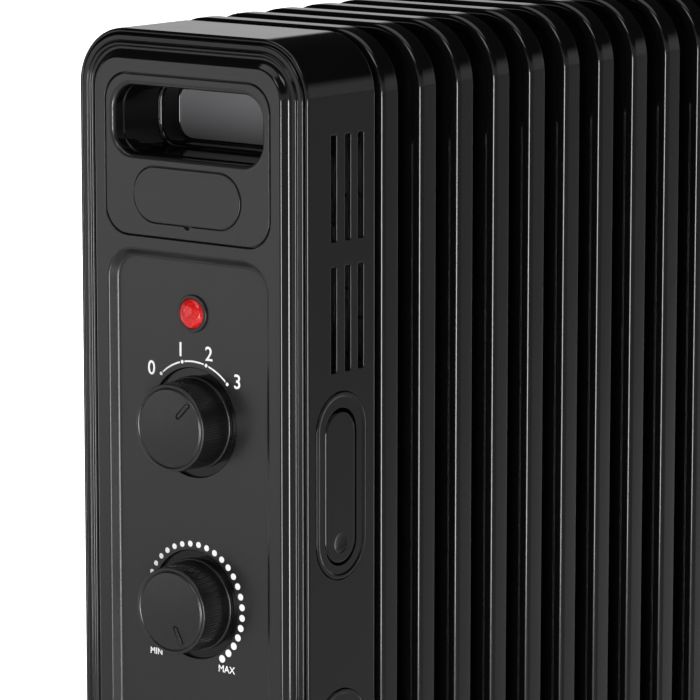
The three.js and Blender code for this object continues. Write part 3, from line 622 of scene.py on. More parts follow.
SURFACE_MAKERS = {
    "gloss": lambda tints: gloss_plastic(tuple(tints.gloss)),
    "satin": lambda tints: satin_plastic(tuple(tints.satin)),
    # Painted light: the lightened satin black on the back wall of the grip pocket.
    "painted_light_wall": lambda tints: matt_plastic(tuple(tints.satin)),
    "enamel": lambda tints: fin_enamel(tuple(tints.enamel)),
    "knob": lambda tints: knob_plastic(tuple(tints.knob)),
    "lamp": lambda tints: lamp_glass(tuple(tints.lamp)),
    "print": lambda tints: scale_print(tuple(tints.print_white)),
    "zinc": lambda tints: zinc_steel(),
    "brass": lambda tints: drawn_brass(),
    "phenolic": lambda tints: phenolic_resin(),
    "ceramic": lambda tints: glazed_ceramic(),
    "nylon": lambda tints: castor_nylon(),
    "rubber": lambda tints: wheel_rubber(),
    "floor": lambda tints: studio_floor(),
}
made_surfaces = {}


def surface(kind):
    """One of the heater's surfaces, made the first time it is asked for."""
    if kind not in made_surfaces:
        made_surfaces[kind] = SURFACE_MAKERS[kind](bpy.context.scene.heater_colours)
    return made_surfaces[kind]


# ---- stage ----------------------------------------------------------------------------------
def aim(thing, target):
    """Points a light or camera at a place."""
    thing.rotation_euler = (Vector(target) - thing.location).to_track_quat("-Z", "Y").to_euler()


def soft_box(name, place, target, width, height, power):
    """A rectangular area light."""
    light = bpy.data.lights.new(name, "AREA")
    light.shape = "RECTANGLE"
    light.size = width
    light.size_y = height
    light.energy = power
    lamp = bpy.data.objects.new(name, light)
    lamp.location = place
    bpy.context.scene.collection.objects.link(lamp)
    aim(lamp, target)


def spot(name, place, target, cone, power):
    """A round spot light with a soft rim."""
    light = bpy.data.lights.new(name, "SPOT")
    light.spot_size = cone
    light.spot_blend = 0.6
    light.shadow_soft_size = 0.2
    light.energy = power
    lamp = bpy.data.objects.new(name, light)
    lamp.location = place
    bpy.context.scene.collection.objects.link(lamp)
    aim(lamp, target)


def studio_sky(horizon, overhead):
    """A white wall near the horizon, a dark band above it and a soft ceiling overhead."""
    world = bpy.data.worlds.new("studio")
    world.use_nodes = True
    tree = world.node_tree
    place = tree.nodes.new("ShaderNodeTexCoord")
    parts = tree.nodes.new("ShaderNodeSeparateXYZ")
    ramp = tree.nodes.new("ShaderNodeValToRGB")
    tree.links.new(place.outputs["Generated"], parts.inputs["Vector"])
    tree.links.new(parts.outputs["Z"], ramp.inputs["Fac"])
    tree.links.new(ramp.outputs["Color"], tree.nodes["Background"].inputs["Color"])
    wall = horizon / overhead
    stops = ((0.0, wall), (0.17, wall), (0.30, 0.012), (0.82, 0.012), (0.90, 1.0))
    while len(ramp.color_ramp.elements) < len(stops):
        ramp.color_ramp.elements.new(0.5)
    for element, (position, grey) in zip(ramp.color_ramp.elements, stops):
        element.position = position
        element.color = (grey, grey, grey, 1)
    tree.nodes["Background"].inputs["Strength"].default_value = overhead
    bpy.context.scene.world = world


class HEATER_OT_stage(bpy.types.Operator):
    """Sets the camera, the pale floor and the soft studio light"""

    bl_idname = "heater.stage"
    bl_label = "Stage"

    def execute(self, context):
        stage = context.scene.heater_stage
        camera = bpy.data.objects.new("camera", bpy.data.cameras.new("camera"))
        context.scene.collection.objects.link(camera)
        camera.location = stage.camera_place
        level = math.cos(stage.pitch)
        ahead = Vector((math.cos(stage.yaw) * level, math.sin(stage.yaw) * level, -math.sin(stage.pitch)))
        aim(camera, camera.location + ahead)
        camera.data.lens = stage.lens
        camera.data.clip_end = 200
        context.scene.camera = camera
        context.scene.view_settings.view_transform = "Standard"
        only()
        bpy.ops.mesh.primitive_plane_add(size=120, location=(0, 0, 0))
        floor = started("floor")
        floor.data.materials.append(surface("floor"))
        studio_sky(stage.horizon, stage.overhead)
        middle_of_head = Vector((HEAD_LOW.x, 0, 0.45))
        soft_box("key", (-2.3, -1.1, 2.5), middle_of_head, 1.2, 1.2, stage.key_power)
        soft_box("panel", (-1.9, 1.45, 0.6), middle_of_head, 1.5, 1.3, stage.panel_power)
        soft_box("strip", (-1.24, -0.68, 0.27), (-0.10, -0.05, 0.27), 0.24, 0.54, stage.strip_power)
        spot("backdrop", (2.0, 1.6, 6.0), (3.5, 2.8, 0), math.radians(84), stage.backdrop_power)
        return {"FINISHED"}


# ---- fins -----------------------------------------------------------------------------------
def pressed_fin(name, sizes, front, tube_end):
    """One fin: a rim with rolled edges, a web, three oil channels and the header tubes."""
    hem = 0.5 * MM
    low = Vector((front + sizes.edge, LAST_FIN_LOW.y, LAST_FIN_LOW.z))
    high = Vector((front + FIN_RIM - hem, LAST_FIN_HIGH.y, LAST_FIN_HIGH.z))
    fin = rounded_block(name, low, high, 0, sizes.corner, 16)
    lip = sizes.edge + 2.5 * MM
    rolled = arc(sizes.edge, sizes.edge)
    terrace(fin, FRONT, rolled + [(lip, sizes.edge)] + wave(3 * MM, -sizes.web, 5, (lip, sizes.edge)))
    pan = FIN_RIM - sizes.web - sizes.sheet
    terrace(fin, BACK, arc(hem, hem, 2) + [(sizes.sheet, hem), (sizes.sheet, hem - pan + 1 * MM),
                                          (sizes.sheet + 1 * MM, hem - pan)])
    header_z = (high.z - 50 * MM, low.z + 50 * MM)
    fuse(fin, *oil_channels(sizes, front, header_z), *headers(sizes, front, tube_end, header_z))
    return fin


def oil_channels(sizes, front, header_z):
    """Three standing channels and the cross channels that feed them, bulging out both ways."""
    bulge = 2.2 * MM
    half = sizes.channel_width / 2
    near = front + 0.4 * MM + bulge
    far = front + 7 * MM - bulge
    top = header_z[0] - sizes.header_radius - 6 * MM
    bottom = header_z[1] + sizes.header_radius + 6 * MM
    boxes = []
    for side in (-1, 0, 1):
        y = side * sizes.channel_spacing
        boxes.append(((near, y - half, bottom), (far, y + half, top)))
    reach = sizes.channel_spacing + half
    for z in (top - 4 * MM, bottom + 4 * MM):
        boxes.append(((near, -reach, z - half), (far, reach, z + half)))
    channels = []
    for low, high in boxes:
        channel = stadium_block("channel", low, high, 0, 8)
        terrace(channel, FRONT, arc(bulge * 1.5, bulge, 3))
        terrace(channel, BACK, arc(bulge * 1.5, bulge, 3))
        channels.append(channel)
    return channels


def headers(sizes, front, tube_end, header_z):
    """The domed seats and tubes through which the oil passes from fin to fin."""
    made = []
    seat = sizes.header_radius + 6 * MM
    for z in header_z:
        start = Vector((front + 1.4 * MM, 0, z))
        header = rod("header", seat, start, start + BACK * 4 * MM, 48)
        terrace(header, FRONT, arc(1 * MM, 1 * MM, 2))
        shoulder = start.x + 4 * MM
        terrace(header, BACK, wave(6 * MM, 3 * MM, 5) + [(6 * MM, tube_end - shoulder)])
        made.append(header)
    return made


class HEATER_OT_fins(bpy.types.Operator):
    """Models one fin, copies it along the row and closes the row with the last fin"""

    bl_idname = "heater.fins"
    bl_label = "Fins"

    def execute(self, context):
        sizes = context.scene.heater_fins
        first = pressed_fin("steel_fin_01", sizes, FIN_FRONT, FIN_FRONT + FIN_PITCH + 0.6 * MM)
        fins = [first]
        for index in range(1, FIN_COUNT - 1):
            fins.append(copied(first, f"steel_fin_{index + 1:02d}", BACK * FIN_PITCH * index))
        last_front = LAST_FIN_LOW.x
        fins.append(pressed_fin(f"steel_{LAST_FIN}", sizes, last_front, last_front + FIN_RIM + 0.3 * MM))
        for index, fin in enumerate(fins):
            settle(fin, "radiator", surface("enamel"), "fin_paint", f"fin_{index + 1:02d}")
        return {"FINISHED"}


class HEATER_OT_plugs(bpy.types.Operator):
    """Models the two hexagon plugs that close the headers at the back"""

    bl_idname = "heater.plugs"
    bl_label = "Header plugs"

    def execute(self, context):
        for node in ("oil_filler_plug", "rear_header_plug"):
            low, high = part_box(node)
            z = middle(node).z
            seat_start = Vector((LAST_FIN_HIGH.x + 0.3 * MM, 0, z))
            radius = (high.y - low.y) / 2
            seat = rod(f"{node}_seat", radius, seat_start, seat_start + BACK * 3 * MM, 48)
            terrace(seat, BACK, arc(0.8 * MM, 0.7 * MM, 3) + [(9 * MM, 0.7 * MM), (9.8 * MM, 0.1 * MM)])
            head = rod("hexagon", 11 * MM, seat_start + BACK * 2.5 * MM, Vector((high.x - 0.8 * MM, 0, z)), 6)
            ease_edges(head, 0.5 * MM, 2, 40)
            terrace(head, BACK, [(1.2 * MM, 0.8 * MM), (4.5 * MM, 0.8 * MM), (5 * MM, 0.3 * MM)])
            gather(seat, head)
            seat.name = seat.data.name = f"{node}_turned"
            settle(seat, "radiator", surface("zinc"), "zinc_steel", node)
        return {"FINISHED"}


# ---- control head ----------------------------------------------------------------------------
def head_block(name, start, end, inset, corner):
    """A slice of the head's outline, drawn in by `inset`."""
    low = (start, HEAD_LOW.y + inset, HEAD_LOW.z + inset)
    high = (end, HEAD_HIGH.y - inset, HEAD_HIGH.z - inset)
    return rounded_block(name, low, high, 0, corner - inset, 20)


VENT_EDGES = (19.3 * MM, 31.3 * MM, 42.4 * MM)
VENT_SPANS = ((50.9 * MM, 107.6 * MM), (121.4 * MM, 178.1 * MM))


def vent_tools(width):
    """Blocks that cut the vent slots through both sides of the shell."""
    tools = []
    for upper, lower in VENT_SPANS:
        for edge in VENT_EDGES:
            x = HEAD_LOW.x + edge
            low = (x, HEAD_LOW.y - MM, HEAD_HIGH.z - lower)
            high = (x + width, HEAD_HIGH.y + MM, HEAD_HIGH.z - upper)
            tools.append(rounded_block("vent", low, high, 1, 0.8 * MM, 3))
    return gather(*tools)


def hook_window(node):
    """A round ended block a little larger than a hook bezel."""
    low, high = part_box(node)
    gap = 0.3 * MM
    bottom = (low.x - gap, low.y - MM, low.z - gap)
    top = (high.x + gap, low.y + 3.5 * MM, high.z + gap)
    return stadium_block("window", bottom, top, 1)


class HEATER_OT_shell(bpy.types.Operator):
    """Models the gloss shell of the control head with its vents and hook windows"""

    bl_idname = "heater.shell"
    bl_label = "Head shell"

    def execute(self, context):
        sizes = context.scene.heater_head
        edge = 1.5 * MM
        shell = head_block("gloss_shell", HEAD_LOW.x + edge, HEAD_HIGH.x - edge, 0, sizes.corner)
        terrace(shell, FRONT, arc(edge, edge, 4))
        terrace(shell, BACK, arc(edge, edge, 3))
        cut(shell, head_block("bore", HEAD_LOW.x - MM, HEAD_HIGH.x + MM, sizes.wall, sizes.corner))
        cut(shell, vent_tools(sizes.vent_width))
        cut(shell, hook_window("upper_hook_bezel"), hook_window("lower_hook_bezel"))
        inlet = middle("cord_gland")
        cut(shell, rod("inlet", 6.3 * MM, inlet + DOWN * 12 * MM, inlet + UP * 12 * MM, 32))
        ease_edges(shell, 0.6 * MM, 3)
        settle(shell, "radiator", surface("gloss"), "shell_black", "head_shell")
        return {"FINISHED"}


def cover_profile():
    """The rim of the cover from its outer edge in: ridge, valley, ridge, cove and the flat face."""
    outer_wall = (0.4 * MM, 0.6 * MM)
    points = [(0.35 * MM, 0), outer_wall]
    points += arc(1.3 * MM, 1.3 * MM, 5, outer_wall)
    points += [(3.4 * MM, 1.9 * MM)]
    points += fall(0.5 * MM, 0.6 * MM, 3, (3.4 * MM, 1.9 * MM))
    inner_wall = (4.5 * MM, 1.4 * MM)
    points += [(4.4 * MM, 1.2 * MM), inner_wall]
    points += arc(1.2 * MM, 1.2 * MM, 5, inner_wall)
    points += [(6.1 * MM, 2.6 * MM)]
    points += wave(1.4 * MM, -1.2 * MM, 6, (6.1 * MM, 2.6 * MM))
    steepest = math.radians(50)
    points += bend(4.0 * MM, 0, steepest, 8, points[-1])
    points += [(points[-1][0] + 1.6 * MM, points[-1][1] + 1.6 * MM * math.tan(steepest))]
    points += bend(2.0 * MM, steepest, 0, 6, points[-1])
    return points


FLARE = 1 * MM
SKIM = 0.04 * MM


def recess_tool(sizes):
    """The cutter for the control recess, with a soft lip and a soft foot."""
    low = (FACE_X - 2 * MM, -sizes.recess_half - FLARE, HEAD_HIGH.z - sizes.recess_bottom - FLARE)
    high = (FACE_X - SKIM, sizes.recess_half + FLARE, HEAD_HIGH.z - sizes.recess_top + FLARE)
    tool = rounded_block("recess", low, high, 0, sizes.recess_corner + FLARE, 14)
    depth = FLOOR_X - FACE_X + SKIM
    steepest = math.radians(50)
    lip = 1.6 * MM
    foot = 3.0 * MM
    points = [(FLARE, 2 * SKIM)]
    points += bend(lip, 0, steepest, 5, points[-1])
    wall = depth - points[-1][1] - foot * (1 - math.cos(steepest))
    points += [(points[-1][0] + wall / math.tan(steepest), points[-1][1] + wall)]
    points += bend(foot, steepest, 0, 7, points[-1])
    terrace(tool, BACK, points)
    return tool


def cover_finish(face, sizes):
    """The slot of a face of the cover: 0, the satin, on its flats; 1, the gloss black, on its rim and, as painted
    shade, in the wells and holes behind the floor; 2, the darker knob black, on the walls inside the rim, painted
    shade.
    """
    near = 0.1 * MM
    from_flat = min(abs(face.center.x - FACE_X), abs(face.center.x - FLOOR_X))
    if face.normal.x < -0.98 and from_flat < near:
        return 0
    inside = abs(face.center.y) < sizes.recess_half + 2 * FLARE
    below_top = face.center.z < HEAD_HIGH.z - 20 * MM
    return 2 if inside and below_top and face.center.x < FLOOR_X else 1


KNOBS = (("power_knob", "power_switch_shaft"), ("thermostat_knob", "thermostat_shaft"))


class HEATER_OT_cover(bpy.types.Operator):
    """Models the satin front cover with its ridged rim, the recess, the wells and the holes"""

    bl_idname = "heater.cover"
    bl_label = "Front cover"

    def execute(self, context):
        sizes = context.scene.heater_head
        inset = COVER_LOW.y - HEAD_LOW.y
        rim = cover_profile()
        start = FACE_X + rim[-1][1]
        cover = head_block("satin_cover", start, COVER_HIGH.x + 0.2 * MM, inset, sizes.corner)
        terrace(cover, FRONT, rim)
        insert_low, insert_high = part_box("handle_insert")
        gap = 0.6 * MM
        hole_low = (FACE_X - 5 * MM, insert_low.y - gap, insert_low.z - gap)
        hole_high = (FACE_X + 2.8 * MM, insert_high.y + gap, insert_high.z + gap)
        cut(cover, rounded_block("insert_hole", hole_low, hole_high, 0, 15.6 * MM, 14))
        ledge = 1.5 * MM
        behind_low = (FACE_X - 5 * MM, insert_low.y + ledge, insert_low.z + ledge)
        behind_high = (COVER_HIGH.x + 5 * MM, insert_high.y - ledge, insert_high.z - ledge)
        cut(cover, rounded_block("behind_hole", behind_low, behind_high, 0, 13.5 * MM, 14))
        cut(cover, recess_tool(sizes))
        for _, shaft in KNOBS:
            centre = Vector((FLOOR_X, 0, middle(shaft).z))
            cut(cover, rod("well", 30 * MM, centre + FRONT * 2 * MM, centre + BACK * 2.4 * MM, 96))
            cut(cover, rod("shaft_hole", 4.5 * MM, centre, centre + BACK * 20 * MM, 32))
        lamp = Vector((FLOOR_X, 0, middle("lamp_lens").z))
        cut(cover, rod("lamp_hole", 9.4 * MM, lamp + FRONT * MM, lamp + BACK * 20 * MM, 48))
        cut(cover, rod("lamp_seat", 11.8 * MM, lamp + BACK * 2.6 * MM, lamp + BACK * 20 * MM, 48))
        ease_edges(cover, 0.45 * MM, 3)
        settle(cover, "radiator", surface("satin"), "cover_black", "front_cover")
        cover.data.materials.append(surface("gloss"))
        cover.data.materials.append(surface("knob"))
        # The rim takes the gloss black; the gloss black in the knob wells and holes and the darker knob black on the
        # recess walls are painted shade.
        for face in cover.data.polygons:
            face.material_index = cover_finish(face, sizes)
        return {"FINISHED"}


class HEATER_OT_back_plate(bpy.types.Operator):
    """Models the steel plate that closes the head towards the fins"""

    bl_idname = "heater.back_plate"
    bl_label = "Back plate"

    def execute(self, context):
        sizes = context.scene.heater_head
        low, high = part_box("head_back_plate")
        inset = low.y - HEAD_LOW.y
        plate = head_block("pressed_back_plate", low.x, high.x, inset, sizes.corner)
        terrace(plate, BACK, [(7 * MM, 0), (8 * MM, -0.5 * MM)])
        stud = middle("head_mounting_stud")
        flange = middle("heater_flange")
        cut(plate, rod("stud_hole", 4.3 * MM, stud + FRONT * 20 * MM, stud + BACK * 20 * MM, 32))
        cut(plate, rod("heater_hole", 22 * MM, flange + FRONT * 20 * MM, flange + BACK * 20 * MM, 64))
        ease_edges(plate, 0.2 * MM)
        settle(plate, "radiator", surface("zinc"), "zinc_steel", "head_back_plate")
        return {"FINISHED"}


# ---- handle insert and badge -------------------------------------------------------------------
GRIP_HALF = 51.8 * MM
GRIP_TOP = 29.9 * MM
GRIP_BOTTOM = 67.6 * MM
GRIP_CORNER = 13 * MM


def grip_tool(lip):
    """The cutter for the grip pocket: a rolled lip, then two shallow steps on the way in."""
    flared = lip + FLARE
    low = (FACE_X - 3 * MM, -GRIP_HALF - flared, HEAD_HIGH.z - GRIP_BOTTOM - flared)
    high = (FACE_X - SKIM, GRIP_HALF + flared, HEAD_HIGH.z - GRIP_TOP + flared)
    tool = rounded_block("grip", low, high, 0, GRIP_CORNER + flared, 14)
    points = [(FLARE, 2 * SKIM)]
    points += cove(lip, lip, 6, (FLARE, 2 * SKIM))
    points += [(flared, 8 * MM)]
    points += wave(0.7 * MM, 0.7 * MM, 4, (flared, 8 * MM))
    step = flared + 0.7 * MM
    points += [(step, 37 * MM)]
    points += cove(2.0 * MM, 2.0 * MM, 5, (step, 37 * MM))
    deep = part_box("handle_insert")[1].x - 2 * MM - FACE_X + SKIM
    points += [(step + 2 * MM, deep - 2 * MM)]
    points += arc(2 * MM, 2 * MM, 4, (step + 2 * MM, deep - 2 * MM))
    terrace(tool, BACK, points)
    return tool


class HEATER_OT_insert(bpy.types.Operator):
    """Models the handle insert with its grip pocket and the badge cap below it"""

    bl_idname = "heater.insert"
    bl_label = "Handle insert and badge"

    def execute(self, context):
        low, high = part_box("handle_insert")
        badge_low, badge_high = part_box("badge_cap")
        seam = Vector((0, 0.3 * MM, 0.3 * MM))
        panel_high = Vector((low.x + 2.5 * MM, high.y, high.z)) - seam
        panel = rounded_block("handle_panel", low + seam, panel_high, 0, 15 * MM, 14)
        wall = 2 * MM
        pocket_low = (low.x + MM, -GRIP_HALF - wall, HEAD_HIGH.z - GRIP_BOTTOM - wall)
        pocket_high = (high.x, GRIP_HALF + wall, HEAD_HIGH.z - GRIP_TOP + wall)
        pocket = rounded_block("pocket", pocket_low, pocket_high, 0, GRIP_CORNER + wall, 14)
        fuse(panel, pocket)
        cut(panel, grip_tool(2.6 * MM))
        gap = 0.6 * MM
        seat_low = (low.x - 2 * MM, badge_low.y - gap, badge_low.z - gap)
        seat_high = (low.x + 1.4 * MM, badge_high.y + gap, badge_high.z + gap)
        cut(panel, stadium_block("seat", seat_low, seat_high, 0, 20))
        notch = Vector((low.x, 0, badge_low.z))
        cut(panel, rod("notch", 2.3 * MM, notch + FRONT * MM, notch + BACK * 2.1 * MM, 32))
        ease_edges(panel, 0.35 * MM, 3)
        settle(panel, "radiator", surface("satin"), "cover_black", "handle_insert")
        panel.data.materials.append(surface("gloss"))
        panel.data.materials.append(surface("painted_light_wall"))
        # Inside the pocket the walls take the gloss black, a glossier finish that is also darker than the satin, partly
        # painted shade; the back wall takes the lightened plastic, painted light.
        back_wall = high.x - 3 * MM
        for face in panel.data.polygons:
            if face.center.x > low.x + 3.2 * MM:
                face.material_index = 2 if face.normal.x < -0.9 and face.center.x > back_wall else 1
        edge = 0.6 * MM
        badge = stadium_block("badge_plate", (badge_low.x + edge, badge_low.y, badge_low.z), badge_high, 0, 20)
        terrace(badge, FRONT, arc(edge, edge, 4) + [(2.2 * MM, edge), (2.8 * MM, edge - 0.12 * MM)])
        settle(badge, "radiator", surface("satin"), "cover_black", "badge_cap")
        return {"FINISHED"}


# ---- lamp ----------------------------------------------------------------------------------
class HEATER_OT_lamp(bpy.types.Operator):
    """Models the red lens of the lamp and the ring round it"""

    bl_idname = "heater.lamp"
    bl_label = "Lamp"

    def execute(self, context):
        low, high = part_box("lamp_lens")
        radius = (high.y - low.y) / 2
        centre = Vector((FLOOR_X, 0, middle("lamp_lens").z))
        rim = FRONT * 0.8 * MM
        lens = rod("red_lens", radius, centre + BACK * 5 * MM, centre + rim, 64)
        dome = centre.x - 0.8 * MM - low.x
        terrace(lens, FRONT, arc(radius, dome, 12)[:-1] + [(radius * 0.96, dome)])
        settle(lens, "radiator", surface("lamp"), "lamp_red", "lamp_lens", angle=50)
        ring_low, ring_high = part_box("lamp_bezel")
        outer = (ring_high.y - ring_low.y) / 2
        front = Vector((ring_low.x + 0.5 * MM, 0, centre.z))
        ring = rod("lamp_ring", outer, Vector((ring_high.x, 0, centre.z)), front, 64)
        terrace(ring, FRONT, arc(0.6 * MM, 0.5 * MM, 4) + [(outer - radius - 0.3 * MM, 0.5 * MM)])
        bore = rod("bore", radius + 0.3 * MM, centre + BACK * 5 * MM, centre + FRONT * 5 * MM, 64)
        cut(ring, bore)
        settle(ring, "radiator", surface("knob"), "cover_black", "lamp_bezel")
        return {"FINISHED"}


# ---- knobs and scales ---------------------------------------------------------------------------
KNOB_SIDES = 192


def round_knob(radius, low, high):
    """A knob made round the X axis with its pointer at the top: knurled side, rim line and domed face."""
    base_radius = 25.4 * MM
    flange = Vector((high.x - 1.6 * MM, 0, 0))
    knob = rod("knob", base_radius, Vector((high.x, 0, 0)), flange, KNOB_SIDES)
    taper = base_radius - radius
    shoulder = flange.x - low.x - 2.2 * MM
    side = arc(0.7 * MM, 0.6 * MM, 3) + [(taper, shoulder)]
    terrace(knob, FRONT, side)
    knurl(knob, low.x + 3 * MM)
    rim = arc(0.9 * MM, 0.9 * MM, 4)
    rim += [(1.3 * MM, 0.9 * MM)]
    rim += wave(0.9 * MM, -0.55 * MM, 4, (1.3 * MM, 0.9 * MM))
    rim += wave(1.0 * MM, 0.75 * MM, 4, (2.2 * MM, 0.35 * MM))
    edge = rim[-1]
    face_radius = radius - edge[0]
    for step in range(1, 8):
        share = step / 8
        rim.append((edge[0] + face_radius * share, edge[1] + 1.1 * MM * math.sin(share * math.pi / 2)))
    terrace(knob, FRONT, rim)
    front = low.x
    cut(knob, stadium_block("slot", (front - MM, -1.7 * MM, 8.4 * MM), (front + 1.3 * MM, 1.7 * MM, radius - 3.4 * MM), 0, 8))
    bar = stadium_block("bar", (front + 0.1 * MM, -0.85 * MM, 9.4 * MM), (front + 1.5 * MM, 0.85 * MM, radius - 4.4 * MM), 0, 8)
    terrace(bar, FRONT, arc(0.3 * MM, 0.1 * MM, 2))
    gather(knob, bar)
    return knob


def knurl(knob, front):
    """Presses fine grooves into every other side face of a knob behind the plane x = front."""
    def grooved(face):
        centre = face.calc_center_median()
        if abs(face.normal.x) > 0.3 or centre.x < front - 2 * MM:
            return False
        if max(vert.co.x for vert in face.verts) - min(vert.co.x for vert in face.verts) < 5 * MM:
            return False
        number = math.floor((math.atan2(centre.z, centre.y) / math.tau + 1) * KNOB_SIDES)
        return number % 2 == 0

    with editing(knob):
        pick("FACE", grooved)
        bpy.ops.mesh.inset(thickness=0.12 * MM, depth=-0.3 * MM, use_individual=True)


class HEATER_OT_knobs(bpy.types.Operator):
    """Models one knob and places a copy on each shaft, turned to its rest angle"""

    bl_idname = "heater.knobs"
    bl_label = "Knobs"

    def execute(self, context):
        controls = context.scene.heater_controls
        low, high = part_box("power_knob")
        pattern = round_knob(controls.knob_radius, low, high)
        turns = (controls.power_turn, controls.thermostat_turn)
        for (node, shaft), turn in zip(KNOBS, turns):
            knob = copied(pattern, f"{node}_moulding")
            turned_to(knob, turn, (0, 0, middle(shaft).z))
            settle(knob, node, surface("knob"), "knob_black", node, angle=30)
        bpy.data.objects.remove(pattern)
        return {"FINISHED"}


PRINT = 0.06 * MM


def on_dial(centre, radius, angle):
    """A place on the recess floor at an angle in degrees, clockwise from the top."""
    turn = math.radians(angle)
    return Vector((FLOOR_X, centre.y - radius * math.sin(turn), centre.z + radius * math.cos(turn)))


def printed_dot(centre, radius):
    """A round printed dot with a slightly raised edge."""
    dot = rod("dot", radius, centre + BACK * PRINT, centre + FRONT * PRINT * 0.5, 20)
    terrace(dot, FRONT, [(PRINT * 0.5, PRINT * 0.5)])
    return dot


def printed_arc(centre, radius, start, end, width):
    """A printed line round a centre, made by spinning a short block."""
    sliver = 0.02 * MM
    low = (FLOOR_X - PRINT, -sliver, radius - width / 2)
    high = (FLOOR_X + PRINT, 0, radius + width / 2)
    line = block("line", low, high)
    with editing(line):
        pick("FACE", lambda face: face.normal.dot(RIGHT) > 0.9)
        steps = max(3, round(abs(end - start) / 3))
        bpy.ops.mesh.spin(steps=steps, angle=math.radians(start - end), center=(0, 0, 0), axis=(1, 0, 0))
    turned_to(line, math.radians(start), (0, centre.y, centre.z))
    return line


def printed_text(words, size, centre, weight):
    """Flat printed characters on the recess floor, read from the front."""
    only()
    upright = (math.radians(90), 0, math.radians(-90))
    bpy.ops.object.text_add(location=centre, rotation=upright)
    text = bpy.context.object
    text.data.body = words
    text.data.size = size
    text.data.align_x = "CENTER"
    text.data.align_y = "CENTER"
    text.data.extrude = PRINT
    text.data.offset = weight
    text.data.resolution_u = 4
    bpy.ops.object.convert(target="MESH")
    text = started("text")
    with editing(text):
        weld()
    return text


class HEATER_OT_scales(bpy.types.Operator):
    """Prints the lines, dots, numbers and end marks round the two knobs"""

    bl_idname = "heater.scales"
    bl_label = "Scales"

    def execute(self, context):
        controls = context.scene.heater_controls
        radius = controls.scale_radius
        power = middle("power_switch_shaft")
        marks = (-43, -13.5, 15.5, 45)
        parts = [printed_dot(on_dial(power, radius, angle), 1.0 * MM) for angle in marks]
        for start, end in zip(marks, marks[1:]):
            parts.append(printed_arc(power, radius, start + 3, end - 3, 0.9 * MM))
        for number, angle in enumerate((-48, -13, 16, 50.5)):
            parts.append(printed_text(str(number), 11 * MM, on_dial(power, 40 * MM, angle), 0.12 * MM))
        settle(gather(*parts), "radiator", surface("print"), "cover_black").name = "power_scale"
        thermostat = middle("thermostat_shaft")
        parts = []
        sweep = 145
        for step in range(controls.dot_count):
            share = step / (controls.dot_count - 1)
            size = (1.2 + 0.9 * share) * MM
            parts.append(printed_dot(on_dial(thermostat, radius, sweep * (2 * share - 1)), size))
        parts.append(printed_text("MIN", 5 * MM, on_dial(thermostat, 41 * MM, -137.5), 0.08 * MM))
        parts.append(printed_text("MAX", 5.4 * MM, on_dial(thermostat, 40 * MM, 146), 0.08 * MM))
        settle(gather(*parts), "radiator", surface("print"), "cover_black").name = "thermostat_scale"
        return {"FINISHED"}


# ---- cord hooks -------------------------------------------------------------------------------
HOOKS = (("upper", 1), ("lower", -1))


def spanned(a, b):
    """Two heights in rising order."""
    return (a, b) if a < b else (b, a)


def hook_bezel(label, direction):
    """The bezel and tray that a cord hook folds into."""
    low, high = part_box(f"{label}_hook_bezel")
    lever_low, lever_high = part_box(f"{label}_cord_hook")
    hinge, tip = (lever_low.z, lever_high.z) if direction == 1 else (lever_high.z, lever_low.z)
    x = (low.x + high.x) / 2
    proud = 0.5 * MM
    ring = stadium_block(f"{label}_hook_frame", (low.x, low.y, low.z), (high.x, low.y + 2.2 * MM, high.z), 1)
    terrace(ring, RIGHT, arc(0.8 * MM, proud, 4) + [(1.6 * MM, proud)] + wave(1.4 * MM, -0.7 * MM, 4, (1.6 * MM, proud)))
    bottom, top = spanned(hinge - direction * 4.5 * MM, tip + direction * 7 * MM)
    tray = stadium_block("tray", (x - 16.5 * MM, low.y + MM, bottom), (x + 16.5 * MM, high.y, top), 1)
    fuse(ring, tray)
    bottom, top = spanned(hinge - direction * 1.2 * MM, tip + direction * 1.8 * MM)
    half = (lever_high.x - lever_low.x) / 2 + MM
    depth = high.y - 2 * MM
    cavity = stadium_block("cavity", (x - half, low.y - 3 * MM, bottom), (x + half, depth - 3 * MM, top), 1)
    terrace(cavity, LEFT, arc(3 * MM, 3 * MM, 4))
    cut(ring, cavity)
    ease_edges(ring, 0.3 * MM, 2)
    return ring


def hook_lever(label, direction):
    """A fold-out lever with a shallow dimple over its hinge, where it is pushed."""
    low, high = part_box(f"{label}_cord_hook")
    hinge, tip = (low.z, high.z) if direction == 1 else (high.z, low.z)
    x = (low.x + high.x) / 2
    edge = 1.2 * MM
    back = low.y + 6.8 * MM
    lever = stadium_block(f"{label}_hook_lever", (low.x, low.y + edge, low.z), (high.x, back - 0.6 * MM, high.z), 1, 20)
    terrace(lever, RIGHT, arc(edge, edge, 5))
    terrace(lever, LEFT, arc(0.6 * MM, 0.6 * MM, 3) + [(2.5 * MM, 0.6 * MM), (3.2 * MM, -1.6 * MM)])
    bottom, top = spanned(tip - direction * 10 * MM, tip - direction * 25 * MM)
    fuse(lever, stadium_block("lip", (x - 5 * MM, back - 3.5 * MM, bottom), (x + 5 * MM, high.y, top), 1, 10))
    cut(lever, ball("dimple", (x, low.y - 0.4 * MM, hinge + direction * 11 * MM), (6 * MM, 1.3 * MM, 6 * MM)))
    pin = middle(f"{label}_hook_pin")
    cut(lever, rod("pin_bore", 1.8 * MM, pin + FRONT * 30 * MM, pin + BACK * 30 * MM, 24))
    return lever


class HEATER_OT_hooks(bpy.types.Operator):
    """Models the two cord hooks and the bezels that they fold into"""

    bl_idname = "heater.hooks"
    bl_label = "Cord hooks"

    def execute(self, context):
        for label, direction in HOOKS:
            bezel = hook_bezel(label, direction)
            settle(bezel, "radiator", surface("gloss"), "shell_black", f"{label}_hook_bezel")
            lever = hook_lever(label, direction)
            settle(lever, f"{label}_cord_hook", surface("gloss"), "shell_black", f"{label}_cord_hook")
        return {"FINISHED"}


